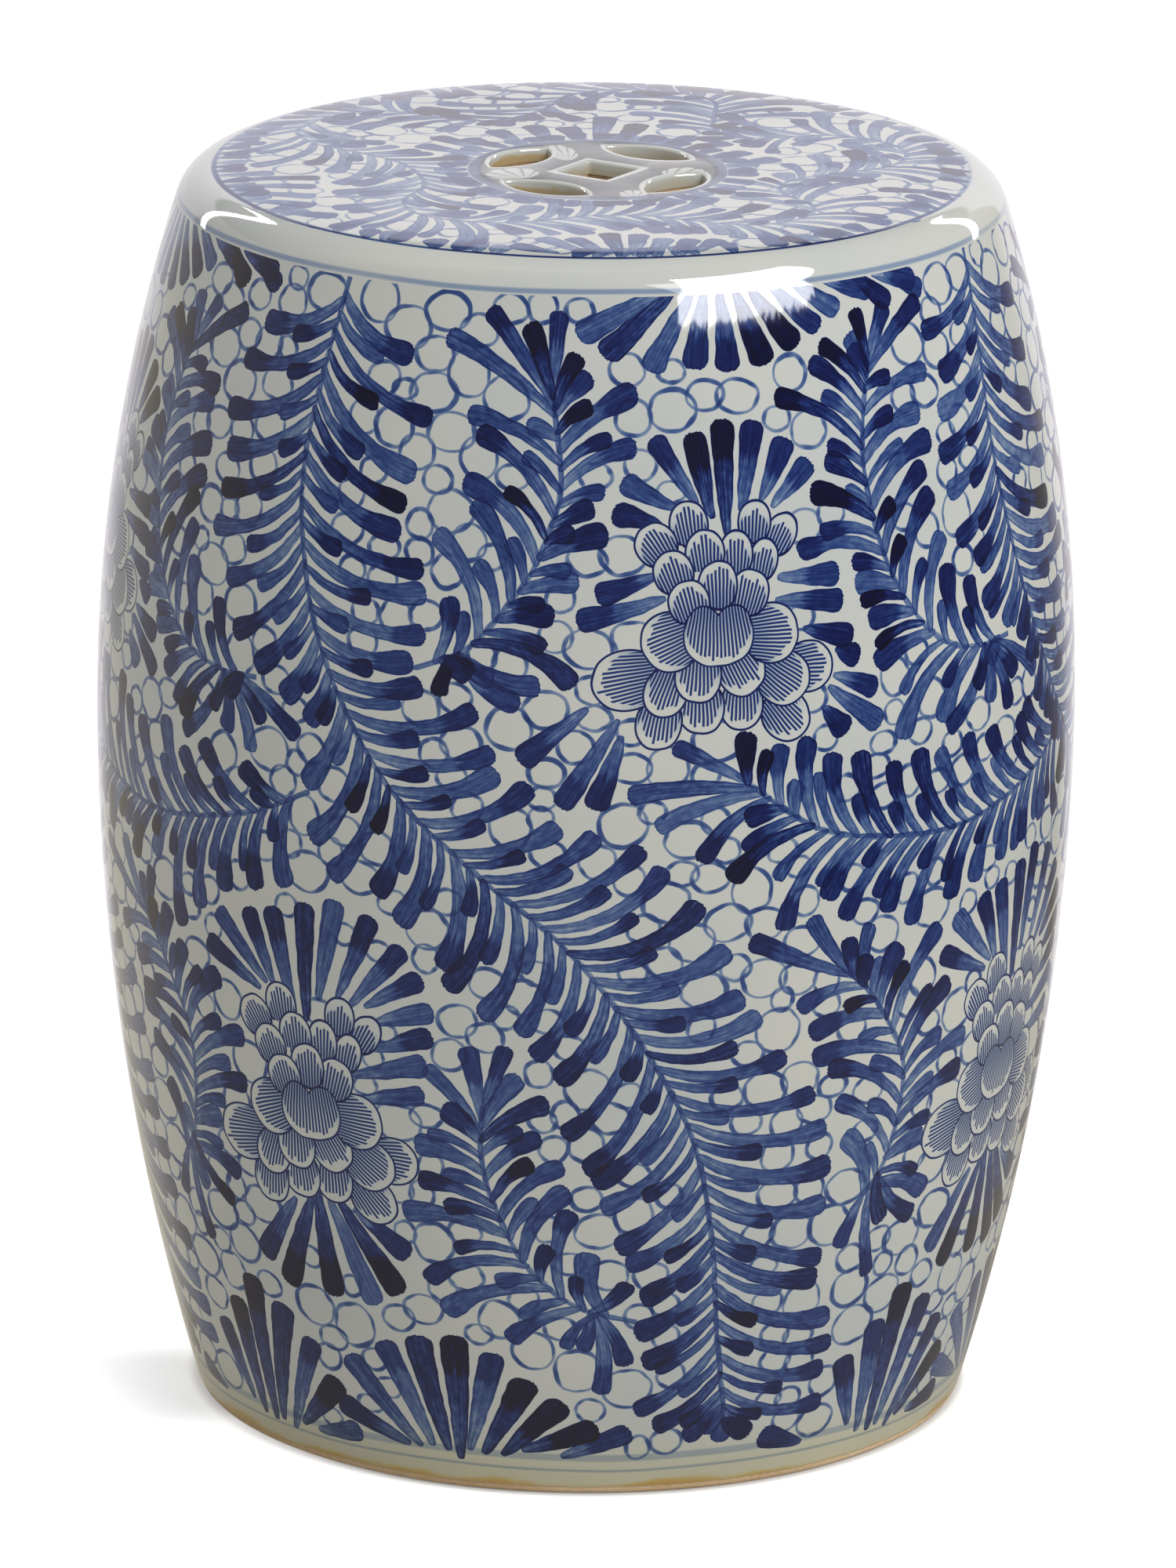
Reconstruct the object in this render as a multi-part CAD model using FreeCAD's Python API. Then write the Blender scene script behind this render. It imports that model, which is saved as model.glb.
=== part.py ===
import FreeCAD, Part
import math
import os

# Barrel-shaped ceramic garden stool, in millimetres.
# The origin is on the floor at the middle of the foot, and +Z is the axis of the barrel.
# A seat slab, two barrel halves and a foot ring are luted together with slip, then glazed.

# Overall shape of the glazed surface. The wall is upright at the belly, and its two arcs come in
# to rim_radius at the height of the seat and to foot_radius at the floor. The seat is flat as far
# out as crown_width inside the rim, falls gently from there, and turns down over the shoulder.
seat_height = 457.0
belly_radius = 178.0
belly_height = 258.0
rim_radius = 145.7
foot_radius = 140.2
crown_width = 33.7
crown_arc_radius = 220.0
shoulder_radius = 15.0

# Clay
wall_thickness = 9.0
slab_thickness = 11.6
foot_seam_height = 16.0
foot_width = 14.0
foot_inside_height = 9.0
foot_edge_radius = 2.5

# Luted seams
slip_thickness = 0.5
belly_seam_rise = 3.0
seat_coil_leg = 11.0
seat_coil_hollow = 0.3
belly_band_height = 40.0
belly_band_thickness = 2.5

# Glaze
glaze_thickness = 0.4
bare_foot_height = 3.2
hole_glaze_depth = 4.5

# Pierced coin: a square hole inside a ring of four pointed finger holes
coin_forward = 9.0
coin_sideways = 2.0
coin_turn = 57.0
square_side = 21.0
lens_count = 4
lens_middle_radius = 33.2
lens_length = 36.0
lens_width = 17.5


def wall_arc_radius(end_radius, height):
    """The radius of an arc that is upright at the belly and comes in to end_radius over a height."""
    inward = belly_radius - end_radius
    return (inward ** 2 + height ** 2) / (2.0 * inward)


upper_arc_radius = wall_arc_radius(rim_radius, seat_height - belly_height)
lower_arc_radius = wall_arc_radius(foot_radius, belly_height)
crown_flat_radius = rim_radius - crown_width

# Centres of the outline's arcs in the half section, as (out from the axis, up from the floor)
upper_centre = (belly_radius - upper_arc_radius, belly_height)
lower_centre = (belly_radius - lower_arc_radius, belly_height)
crown_centre = (crown_flat_radius, seat_height - crown_arc_radius)


def along(centre, radius, angle):
    """The point on a circle of the half section, at an angle that opens outwards from +Z."""
    return (centre[0] + radius * math.sin(angle), centre[1] + radius * math.cos(angle))


def shoulder_centre_point():
    """Where the shoulder arc's centre lies, so that it is tangent to the crown and to the wall."""
    reach_crown = crown_arc_radius - shoulder_radius
    reach_wall = upper_arc_radius - shoulder_radius
    across = crown_centre[0] - upper_centre[0]
    rise = crown_centre[1] - upper_centre[1]
    apart = math.hypot(across, rise)
    forward = (apart ** 2 + reach_wall ** 2 - reach_crown ** 2) / (2.0 * apart)
    aside = math.sqrt(reach_wall ** 2 - forward ** 2)
    out = upper_centre[0] + (across * forward - rise * aside) / apart
    up = upper_centre[1] + (rise * forward + across * aside) / apart
    return (out, up)


def angle_from(centre, point):
    return math.atan2(point[0] - centre[0], point[1] - centre[1])


shoulder_centre = shoulder_centre_point()
crown_end = angle_from(crown_centre, shoulder_centre)
shoulder_end = angle_from(upper_centre, shoulder_centre)
level = math.pi / 2.0
straight_down = math.pi
shortest_arc = 0.001


def outline_arcs(depth):
    """The arcs of the outline at a depth below the glazed surface, from the crown down to the floor."""
    return [
        (crown_centre, crown_arc_radius - depth, 0.0, crown_end),
        (shoulder_centre, shoulder_radius - depth, crown_end, shoulder_end),
        (upper_centre, upper_arc_radius - depth, shoulder_end, level),
        (lower_centre, lower_arc_radius - depth, level, straight_down),
    ]


def angle_at(centre, radius, first, last, height):
    """The angle at which an arc reaches a height, kept between the arc's ends."""
    share = max(-1.0, min(1.0, (height - centre[1]) / radius))
    return max(first, min(last, math.acos(share)))


def edge_point(depth, height):
    """The point of the outline at a depth below the glazed surface, at a height."""
    for centre, radius, first, last in outline_arcs(depth):
        if height >= along(centre, radius, last)[1]:
            return (along(centre, radius, angle_at(centre, radius, first, last, height))[0], height)


def line(start, end):
    points = [FreeCAD.Vector(point[0], 0, point[1]) for point in (start, end)]
    return Part.LineSegment(points[0], points[1]).toShape()


def curve(start, middle, end):
    points = [FreeCAD.Vector(point[0], 0, point[1]) for point in (start, middle, end)]
    return Part.Arc(points[0], points[1], points[2]).toShape()


def outline(depth, top, bottom):
    """The edges of the outline at a depth below the glazed surface, from a top height to a bottom one."""
    edges = []
    for centre, radius, first, last in outline_arcs(depth):
        start = angle_at(centre, radius, first, last, top)
        end = angle_at(centre, radius, first, last, bottom)
        if radius * (end - start) > shortest_arc:
            points = [along(centre, radius, angle) for angle in (start, (start + end) / 2.0, end)]
            edges.append(curve(points[0], points[1], points[2]))
    return edges


def revolved(edges):
    """The solid that a closed outline makes when it is turned about the barrel's axis."""
    section = Part.Face(Part.Wire(Part.__sortEdges__(edges)))
    solid = section.revolve(FreeCAD.Vector(0, 0, 0), FreeCAD.Vector(0, 0, 1), 360.0)
    if solid.Volume < 0:
        solid.reverse()
    return solid


# Heights and depths that neighbouring pieces share
half_slip = slip_thickness / 2.0
inner_depth = glaze_thickness + wall_thickness
slab_top = seat_height - glaze_thickness
slab_underside = slab_top - slab_thickness
barrel_top = slab_underside - slip_thickness
foot_seam_top = foot_seam_height + half_slip
foot_seam_bottom = foot_seam_height - half_slip
band_middle = belly_height + belly_seam_rise
lining_bottom = slab_top - hole_glaze_depth


def belly_face(offset):
    """The sloping face of the belly seam, moved up by an offset: its outer and its inner point."""
    outer = edge_point(glaze_thickness, belly_height + offset)
    inner = edge_point(inner_depth, belly_height + belly_seam_rise + offset)
    return outer, inner


def lens_outline(grow):
    """A pointed finger hole that lies along X about the origin, made larger all round by grow."""
    half_length = lens_length / 2.0
    half_width = lens_width / 2.0
    radius = (half_length ** 2 + half_width ** 2) / (2.0 * half_width)
    set_back = radius - half_width
    tip = math.sqrt((radius + grow) ** 2 - set_back ** 2)
    left = FreeCAD.Vector(-tip, 0, 0)
    right = FreeCAD.Vector(tip, 0, 0)
    far_side = Part.Arc(left, FreeCAD.Vector(0, half_width + grow, 0), right)
    near_side = Part.Arc(right, FreeCAD.Vector(0, -half_width - grow, 0), left)
    return Part.Wire([far_side.toShape(), near_side.toShape()])


def square_outline(grow):
    half = square_side / 2.0 + grow
    corners = [(-half, -half), (half, -half), (half, half), (-half, half), (-half, -half)]
    return Part.makePolygon([FreeCAD.Vector(x, y, 0) for x, y in corners])


def coin_prism(outline_wire, turn, out, bottom, top):
    """An upright prism, set out from the coin's middle along +Y and then turned about that middle."""
    prism = Part.Face(outline_wire).extrude(FreeCAD.Vector(0, 0, top - bottom))
    prism.translate(FreeCAD.Vector(0, out, bottom))
    prism.rotate(FreeCAD.Vector(0, 0, 0), FreeCAD.Vector(0, 0, 1), turn)
    prism.translate(FreeCAD.Vector(coin_sideways, -coin_forward, 0))
    return prism


def lens_prisms(grow, bottom, top):
    prisms = []
    for index in range(lens_count):
        turn = coin_turn - 90.0 + index * 360.0 / lens_count
        prisms.append(coin_prism(lens_outline(grow), turn, lens_middle_radius, bottom, top))
    return prisms


def square_prism(grow, bottom, top):
    return coin_prism(square_outline(grow), coin_turn, 0.0, bottom, top)


def pierced(solid, grow):
    """Cuts the coin's holes right through a solid of the seat."""
    bottom = slab_underside - slab_thickness
    top = seat_height + slab_thickness
    for prism in lens_prisms(grow, bottom, top) + [square_prism(grow, bottom, top)]:
        solid = solid.cut(prism)
    return solid


def seat_slab():
    """The flat top with its rounded shoulder, pierced by the coin."""
    edges = outline(glaze_thickness, slab_top, slab_underside)
    edges.append(line((0.0, slab_top), (crown_flat_radius, slab_top)))
    edges.append(line((0.0, slab_top), (0.0, slab_underside)))
    edges.append(line((0.0, slab_underside), edge_point(glaze_thickness, slab_underside)))
    return pierced(revolved(edges), glaze_thickness)


def upper_barrel():
    """The upper half of the wall, from the sloping belly seam to the flat seam under the seat."""
    outer, inner = belly_face(half_slip)
    edges = outline(glaze_thickness, barrel_top, outer[1])
    edges += outline(inner_depth, barrel_top, inner[1])
    edges.append(line(outer, inner))
    edges.append(line(edge_point(glaze_thickness, barrel_top), edge_point(inner_depth, barrel_top)))
    return revolved(edges)


def lower_barrel():
    """The lower half of the wall, from the flat seam on the foot to the sloping belly seam."""
    outer, inner = belly_face(-half_slip)
    edges = outline(glaze_thickness, outer[1], foot_seam_top)
    edges += outline(inner_depth, inner[1], foot_seam_top)
    edges.append(line(outer, inner))
    edges.append(line(edge_point(glaze_thickness, foot_seam_top), edge_point(inner_depth, foot_seam_top)))
    return revolved(edges)


def foot_ring():
    """The thick ring that the stool stands on, its lower outside edge rounded and left bare."""
    edge_out = edge_point(glaze_thickness, foot_edge_radius)
    edge_middle = (edge_out[0] - foot_edge_radius, foot_edge_radius)
    edge_bottom = (edge_middle[0], 0.0)
    inside_bottom = (edge_out[0] - foot_width, 0.0)
    inside_top = (inside_bottom[0], foot_inside_height)
    seam_outer = edge_point(glaze_thickness, foot_seam_bottom)
    seam_inner = edge_point(inner_depth, foot_seam_bottom)
    half_way = along(edge_middle, foot_edge_radius, (level + straight_down) / 2.0)
    edges = outline(glaze_thickness, foot_seam_bottom, foot_edge_radius)
    edges.append(curve(edge_out, half_way, edge_bottom))
    edges.append(line(edge_bottom, inside_bottom))
    edges.append(line(inside_bottom, inside_top))
    edges.append(line(inside_top, seam_inner))
    edges.append(line(seam_inner, seam_outer))
    return revolved(edges)


def flat_slip(bottom, top):
    """A thin layer of slip between two level seam faces of the wall."""
    edges = outline(glaze_thickness, top, bottom) + outline(inner_depth, top, bottom)
    for height in (bottom, top):
        edges.append(line(edge_point(glaze_thickness, height), edge_point(inner_depth, height)))
    return revolved(edges)


def belly_slip():
    """A thin layer of slip between the two sloping seam faces at the belly."""
    top_outer, top_inner = belly_face(half_slip)
    bottom_outer, bottom_inner = belly_face(-half_slip)
    edges = outline(glaze_thickness, top_outer[1], bottom_outer[1])
    edges += outline(inner_depth, top_inner[1], bottom_inner[1])
    edges.append(line(top_outer, top_inner))
    edges.append(line(bottom_outer, bottom_inner))
    return revolved(edges)


def seat_coil():
    """The coil of clay pressed into the corner under the seat all round, with a hollow face."""
    corner = edge_point(inner_depth, slab_underside)
    seat_end = (corner[0] - seat_coil_leg, slab_underside)
    wall_end = edge_point(inner_depth, slab_underside - seat_coil_leg)
    middle = ((seat_end[0] + wall_end[0]) / 2.0, (seat_end[1] + wall_end[1]) / 2.0)
    hollow_out = middle[0] + (corner[0] - middle[0]) * seat_coil_hollow
    hollow_up = middle[1] + (corner[1] - middle[1]) * seat_coil_hollow
    edges = outline(inner_depth, slab_underside, wall_end[1])
    edges.append(curve(seat_end, (hollow_out, hollow_up), wall_end))
    edges.append(line(seat_end, corner))
    return revolved(edges)


def belly_band():
    """The strip of clay smoothed over the inside of the belly seam."""
    top = edge_point(inner_depth, band_middle + belly_band_height / 2.0)
    bottom = edge_point(inner_depth, band_middle - belly_band_height / 2.0)
    bulge = (edge_point(inner_depth, band_middle)[0] - belly_band_thickness, band_middle)
    edges = outline(inner_depth, top[1], bottom[1])
    edges.append(curve(top, bulge, bottom))
    return revolved(edges)


def glaze_end(height):
    """The level edge between the glaze's outer and inner faces where a coat ends."""
    return line(edge_point(0.0, height), edge_point(glaze_thickness, height))


def seat_glaze():
    """The glaze over the seat and its rounded shoulder, open at the pierced holes."""
    edges = outline(0.0, seat_height, slab_underside)
    edges += outline(glaze_thickness, slab_top, slab_underside)
    edges.append(glaze_end(slab_underside))
    edges.append(line((0.0, seat_height), (crown_flat_radius, seat_height)))
    edges.append(line((0.0, slab_top), (crown_flat_radius, slab_top)))
    edges.append(line((0.0, seat_height), (0.0, slab_top)))
    return pierced(revolved(edges), 0.0)


def wall_glaze():
    """The glaze over the wall, from the seam under the seat down to the bare foot."""
    edges = outline(0.0, slab_underside, bare_foot_height)
    edges += outline(glaze_thickness, slab_underside, bare_foot_height)
    edges.append(glaze_end(slab_underside))
    edges.append(glaze_end(bare_foot_height))
    return revolved(edges)


def lens_hole_glaze():
    """The glaze that lines the upper part of each finger hole, under the seat's glaze."""
    outsides = lens_prisms(glaze_thickness, lining_bottom, slab_top)
    insides = lens_prisms(0.0, lining_bottom - glaze_thickness, slab_top + glaze_thickness)
    return Part.makeCompound([outside.cut(inside) for outside, inside in zip(outsides, insides)])


def square_hole_glaze():
    outside = square_prism(glaze_thickness, lining_bottom, slab_top)
    return outside.cut(square_prism(0.0, lining_bottom - glaze_thickness, slab_top + glaze_thickness))


nodes = {
    "seat_slab": seat_slab(),
    "upper_barrel": upper_barrel(),
    "lower_barrel": lower_barrel(),
    "foot_ring": foot_ring(),
    "seat_seam_slip": flat_slip(barrel_top, slab_underside),
    "belly_seam_slip": belly_slip(),
    "foot_seam_slip": flat_slip(foot_seam_bottom, foot_seam_top),
    "seat_seam_coil": seat_coil(),
    "belly_seam_band": belly_band(),
    "seat_glaze": seat_glaze(),
    "wall_glaze": wall_glaze(),
    "lens_hole_glaze": lens_hole_glaze(),
    "square_hole_glaze": square_hole_glaze(),
}

os.makedirs("parts", exist_ok=True)
for name, shape in nodes.items():
    shape.exportStep("parts/" + name + ".step")
    box = shape.optimalBoundingBox()
    volume = round(shape.Volume / 1000.0, 2)
    heights = (round(box.ZMin, 2), round(box.ZMax, 2))
    across = round(box.XLength, 2)
    print(name, len(shape.Solids), "solids", shape.isValid(), volume, "cm3", heights, across, "across")
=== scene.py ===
import math
import random
import bpy
import bmesh
import numpy as np
from mathutils import Matrix, Vector, kdtree


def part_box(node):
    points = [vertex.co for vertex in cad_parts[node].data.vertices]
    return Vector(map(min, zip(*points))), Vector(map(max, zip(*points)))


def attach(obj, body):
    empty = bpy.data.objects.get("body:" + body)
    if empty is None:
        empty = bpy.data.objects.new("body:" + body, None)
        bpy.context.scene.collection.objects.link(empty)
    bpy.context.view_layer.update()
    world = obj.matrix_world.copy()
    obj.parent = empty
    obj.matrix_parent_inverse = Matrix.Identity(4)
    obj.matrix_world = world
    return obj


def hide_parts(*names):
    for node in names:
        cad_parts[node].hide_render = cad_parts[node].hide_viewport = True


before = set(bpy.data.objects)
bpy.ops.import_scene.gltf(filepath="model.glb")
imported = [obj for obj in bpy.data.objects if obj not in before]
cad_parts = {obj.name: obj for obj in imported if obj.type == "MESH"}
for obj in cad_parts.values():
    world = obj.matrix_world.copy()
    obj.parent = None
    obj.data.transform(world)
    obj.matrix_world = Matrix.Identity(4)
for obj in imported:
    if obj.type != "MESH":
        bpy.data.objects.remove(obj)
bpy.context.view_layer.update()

# Everything below is worked out in millimetres and scaled to metres when a mesh is made.
mm = 0.001
dice = random.Random(7)


# Camera

cameraSet = dict(distance=4500.0, elevation=16.24, aim=(1.1, 0.0, 224.7), rise=228.0, roll=0.65,
                 lens=283.2, sensor=36.0)


def makeCamera():
    data = bpy.data.cameras.new("viewCamera")
    data.sensor_width = cameraSet["sensor"]
    data.lens = cameraSet["lens"]
    data.clip_end = 60.0
    tilt = math.radians(cameraSet["elevation"])
    place = Vector((0.0, -math.cos(tilt), math.sin(tilt))) * cameraSet["distance"]
    place.z += cameraSet["rise"]
    forward = (Vector(cameraSet["aim"]) - place).normalized()
    level = forward.cross(Vector((0, 0, 1))).normalized()
    roll = math.radians(cameraSet["roll"])
    right = level * math.cos(roll) + level.cross(forward) * math.sin(roll)
    up = right.cross(forward)
    turn = Matrix((right, up, -forward)).transposed().to_4x4()
    camera = bpy.data.objects.new("viewCamera", data)
    bpy.context.scene.collection.objects.link(camera)
    camera.matrix_world = Matrix.Translation(place * mm) @ turn
    bpy.context.scene.camera = camera


makeCamera()
bpy.context.scene.view_settings.view_transform = "Standard"
print("camera placed")


# The turned shape of the stool, its sizes taken from the frame where the frame shows them

seatLow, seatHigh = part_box("seat_glaze")
wallLow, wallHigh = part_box("wall_glaze")
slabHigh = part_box("seat_slab")[1]
stool = dict(seatHeight=seatHigh[2] / mm, seamHeight=seatLow[2] / mm, bellyRadius=wallHigh[0] / mm,
             bareFoot=wallLow[2] / mm, slabTop=slabHigh[2] / mm, bellyHeight=258.0, rimRadius=145.7,
             footRadius=140.2, crownWidth=33.7, crownArc=220.0, shoulderArc=15.0)


def arcThrough(endRadius, rise):
    inward = stool["bellyRadius"] - endRadius
    return (inward ** 2 + rise ** 2) / (2.0 * inward)


upperArc = arcThrough(stool["rimRadius"], stool["seatHeight"] - stool["bellyHeight"])
lowerArc = arcThrough(stool["footRadius"], stool["bellyHeight"])
crownFlat = stool["rimRadius"] - stool["crownWidth"]
upperCentre = (stool["bellyRadius"] - upperArc, stool["bellyHeight"])
lowerCentre = (stool["bellyRadius"] - lowerArc, stool["bellyHeight"])
crownCentre = (crownFlat, stool["seatHeight"] - stool["crownArc"])


def shoulderMiddle():
    toCrown = stool["crownArc"] - stool["shoulderArc"]
    toWall = upperArc - stool["shoulderArc"]
    across = crownCentre[0] - upperCentre[0]
    rise = crownCentre[1] - upperCentre[1]
    apart = math.hypot(across, rise)
    forward = (apart ** 2 + toWall ** 2 - toCrown ** 2) / (2.0 * apart)
    aside = math.sqrt(toWall ** 2 - forward ** 2)
    return (upperCentre[0] + (across * forward - rise * aside) / apart,
            upperCentre[1] + (rise * forward + across * aside) / apart)


shoulderCentre = shoulderMiddle()


def wallRadius(z):
    arc = np.where(z > stool["bellyHeight"], upperArc, lowerArc)
    return stool["bellyRadius"] - arc + np.sqrt(arc ** 2 - (z - stool["bellyHeight"]) ** 2)


def wallStretch(z):
    arc = np.where(z > stool["bellyHeight"], upperArc, lowerArc)
    return arc / np.sqrt(arc ** 2 - (z - stool["bellyHeight"]) ** 2)


# Two flat ways of looking at the stool: the wall by azimuth and height, the seat by x and y

def wallPoint(spot):
    around = math.radians(spot[0])
    radius = float(wallRadius(spot[1]))
    return Vector((radius * math.sin(around), -radius * math.cos(around), spot[1]))


def wallLocal(points, spot):
    around = np.degrees(np.arctan2(points[..., 0], -points[..., 1])) - spot[0]
    around = (around + 180.0) % 360.0 - 180.0
    return (np.radians(around) * float(wallRadius(spot[1])),
            (points[..., 2] - spot[1]) * float(wallStretch(spot[1])))


def wallMove(spot, right, up):
    return (spot[0] + math.degrees(right / float(wallRadius(spot[1]))),
            spot[1] + up / float(wallStretch(spot[1])))


def seatPoint(spot):
    return Vector((spot[0], spot[1], stool["seatHeight"]))


def seatLocal(points, spot):
    return points[..., 0] - spot[0], points[..., 1] - spot[1]


def seatMove(spot, right, up):
    return (spot[0] + right, spot[1] + up)


# How far each painting reaches: between two heights on the wall, and inside a ring on the seat
edges = dict(wallLow=15.5, wallHigh=446.0, seatLine=137.0)


def wallRoom(spot):
    return min(spot[1] - edges["wallLow"], edges["wallHigh"] - spot[1])


def seatRoom(spot):
    return edges["seatLine"] - math.hypot(*spot)


def makeSide(**ways):
    return dict(ways, strokes=[], stems=[], rings=[], petals=[], drawn={})


wall = makeSide(point=wallPoint, local=wallLocal, move=wallMove, room=wallRoom)
seat = makeSide(point=seatPoint, local=seatLocal, move=seatMove, room=seatRoom)


def halfTurn(angle):
    # the same direction, between half a turn to the right and half a turn to the left
    return (angle + math.pi) % (2 * math.pi) - math.pi


def turned(x, y, angle):
    # the same place measured along axes turned by an angle; x and y may also be numbers inside a material
    cosine, sine = math.cos(angle), math.sin(angle)
    return x * cosine + y * sine, y * cosine - x * sine


def toLocal(side, spot, other):
    right, up = side["local"](np.array(side["point"](other)), spot)
    return float(right), float(up)


# Brush strokes: an arc from a thin root to a round tip

brush = dict(rootShare=0.26, swell=0.7, leafSwell=0.5, middleShare=0.77, tipLength=3.6, tipRise=2.3,
             tipShort=0.85, corner=2.4, ragged=1.3, cell=9.0, gap=0.6, sample=3.0, straight=0.03,
             freeFrom=0.35, freeStep=1.5, touching=0.58, widthVary=(0.85, 1.1))
tones = dict(pale=0, plain=1, deep=2, dark=3)


def makeStroke(side, spot, heading, length, turn, halfWidth, tone, pressed=False):
    # a pressed stroke is a leaf, narrow up to the tip, where the brush was pressed down
    return dict(side=side, spot=spot, heading=heading, length=length, turn=turn, halfWidth=halfWidth,
                tone=tone, pressed=pressed)


def strokeTo(side, root, tip, turn, halfWidth, tone):
    right, up = toLocal(side, root, tip)
    chord = math.hypot(right, up)
    length = chord if abs(turn) < brush["straight"] else chord * (turn / 2.0) / math.sin(turn / 2.0)
    return makeStroke(side, root, math.atan2(up, right) - turn / 2.0, length, turn, halfWidth, tone)


def strokeSpot(stroke, far):
    heading = stroke["heading"]
    bent = stroke["turn"] * far / stroke["length"]
    if abs(stroke["turn"]) < brush["straight"]:
        forward, left = far, 0.0
    else:
        radius = stroke["length"] / stroke["turn"]
        forward, left = radius * math.sin(bent), radius * (1.0 - math.cos(bent))
    right = forward * math.cos(heading) - left * math.sin(heading)
    up = forward * math.sin(heading) + left * math.cos(heading)
    return stroke["side"]["move"](stroke["spot"], right, up)


def widthAt(stroke, far):
    length, half = stroke["length"], stroke["halfWidth"]
    middle = brush["middleShare"] if stroke["pressed"] else 1.0
    swell = brush["leafSwell"] if stroke["pressed"] else brush["swell"]
    share = np.clip(far / max(1.0, length - brush["tipShort"] * half), 0.0, 1.0)
    tip = np.clip((far - length + brush["tipLength"] * half) / (brush["tipRise"] * half), 0.0, 1.0)
    tip = tip * tip * (3.0 - 2.0 * tip)
    body = brush["rootShare"] + (middle - brush["rootShare"]) * share ** swell
    return half * (body + (1.0 - middle) * tip)


def cellOf(point):
    size = brush["cell"]
    return (math.floor(point.x / size), math.floor(point.y / size), math.floor(point.z / size))


def nearbyDrawn(side, point):
    home = cellOf(point)
    for i in (-1, 0, 1):
        for j in (-1, 0, 1):
            for k in (-1, 0, 1):
                yield from side["drawn"].get((home[0] + i, home[1] + j, home[2] + k), ())


def remember(side, point, halfWidth, owner):
    side["drawn"].setdefault(cellOf(point), []).append((point, halfWidth, owner))


def freeLength(stroke, owner):
    # leaves of one stem may touch, other marks are kept clear
    side = stroke["side"]
    far = brush["freeFrom"] * stroke["length"]
    while far < stroke["length"]:
        spot = strokeSpot(stroke, far)
        point = side["point"](spot)
        mine = float(widthAt(stroke, far))
        if side["room"](spot) < mine:
            return far
        for other, halfWidth, whose in nearbyDrawn(side, point):
            both = mine + halfWidth
            clear = brush["touching"] * both if whose == owner else both + brush["gap"]
            if (other - point).length < clear:
                return far
        far += brush["freeStep"]
    return stroke["length"]


def draw(stroke, owner):
    side = stroke["side"]
    side["strokes"].append(stroke)
    steps = max(2, int(stroke["length"] / brush["sample"]))
    for i in range(steps + 1):
        far = stroke["length"] * i / steps
        remember(side, side["point"](strokeSpot(stroke, far)), float(widthAt(stroke, far)), owner)


def drawIfFree(stroke, owner, shortest):
    free = freeLength(stroke, owner)
    if free < shortest:
        return
    if free < stroke["length"]:
        stroke["turn"] *= free / stroke["length"]
        stroke["length"] = free
    draw(stroke, owner)


# Stems: a smooth line through a few points, with leaves along both sides

fernSet = dict(step=2.5, smooth=12, pitch=7.1, startAngle=37.0, bend=53.0, longer=1.26, longWidth=4.3,
               shortWidth=3.2, stemWidth=1.0, stemReach=5.5, bendSpan=12.0, bendReach=15.0, tightest=0.62,
               widest=1.1, leastLong=11.0, leastShort=8.0, endShare=0.72, endReach=40.0, startReach=25.0,
               darkShare=0.1, deepShare=0.34, paleShare=0.12)
# how much a leaf varies by chance: shares of its length and width, degrees, and millimetres along the stem
leafVary = dict(length=(0.9, 1.1), width=(0.88, 1.1), angle=4, bend=9, place=0.5)
spraySet = dict(width=3.8, back=13.0, backAngle=1.6, bend=0.45, mostBent=0.8)


def smoothLine(points, closed=False):
    spots = []
    count = len(points)
    spans = count if closed else count - 1
    for i in range(spans):
        if closed:
            a, b, c, d = (points[(i + k) % count] for k in (-1, 0, 1, 2))
        else:
            a, b = points[max(i - 1, 0)], points[i]
            c, d = points[i + 1], points[min(i + 2, count - 1)]
        for k in range(fernSet["smooth"]):
            t = k / fernSet["smooth"]
            spots.append(tuple(0.5 * (2 * b[n] + (c[n] - a[n]) * t
                                      + (2 * a[n] - 5 * b[n] + 4 * c[n] - d[n]) * t * t
                                      + (3 * b[n] - a[n] - 3 * c[n] + d[n]) * t ** 3) for n in (0, 1)))
    spots.append(tuple(points[0] if closed else points[-1]))
    return spots


def evenLine(side, spots, step):
    # the same line in even steps: spot, heading and distance from the start
    line = []
    far = 0.0
    wanted = 0.0
    for here, there in zip(spots, spots[1:]):
        right, up = toLocal(side, here, there)
        gap = math.hypot(right, up)
        while gap > 0.0 and wanted <= far + gap:
            share = (wanted - far) / gap
            line.append((side["move"](here, right * share, up * share), math.atan2(up, right), wanted))
            wanted += step
        far += gap
    return line


def spotAlong(line, far):
    place = min(max(far / fernSet["step"], 0.0), len(line) - 1.001)
    i = int(place)
    share = place - i
    (a, headingA, _), (b, headingB, _) = line[i], line[i + 1]
    heading = headingA + halfTurn(headingB - headingA) * share
    return (a[0] + (b[0] - a[0]) * share, a[1] + (b[1] - a[1]) * share), heading


def bendNear(line, far):
    # how much the stem turns per mm
    span = fernSet["bendSpan"]
    before, after = spotAlong(line, far - span)[1], spotAlong(line, far + span)[1]
    return halfTurn(after - before) / (2.0 * span)


def pickTone():
    roll = dice.random()
    if roll < fernSet["darkShare"]:
        return "dark"
    if roll < fernSet["darkShare"] + fernSet["deepShare"]:
        return "deep"
    if roll > 1.0 - fernSet["paleShare"]:
        return "pale"
    return "plain"


def drawStem(side, points, owner, closed=False):
    line = evenLine(side, smoothLine(points, closed), fernSet["step"])
    side["stems"].append(line)
    for spot, _, _ in line:
        remember(side, side["point"](spot), fernSet["stemWidth"], owner)
    return line


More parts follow.
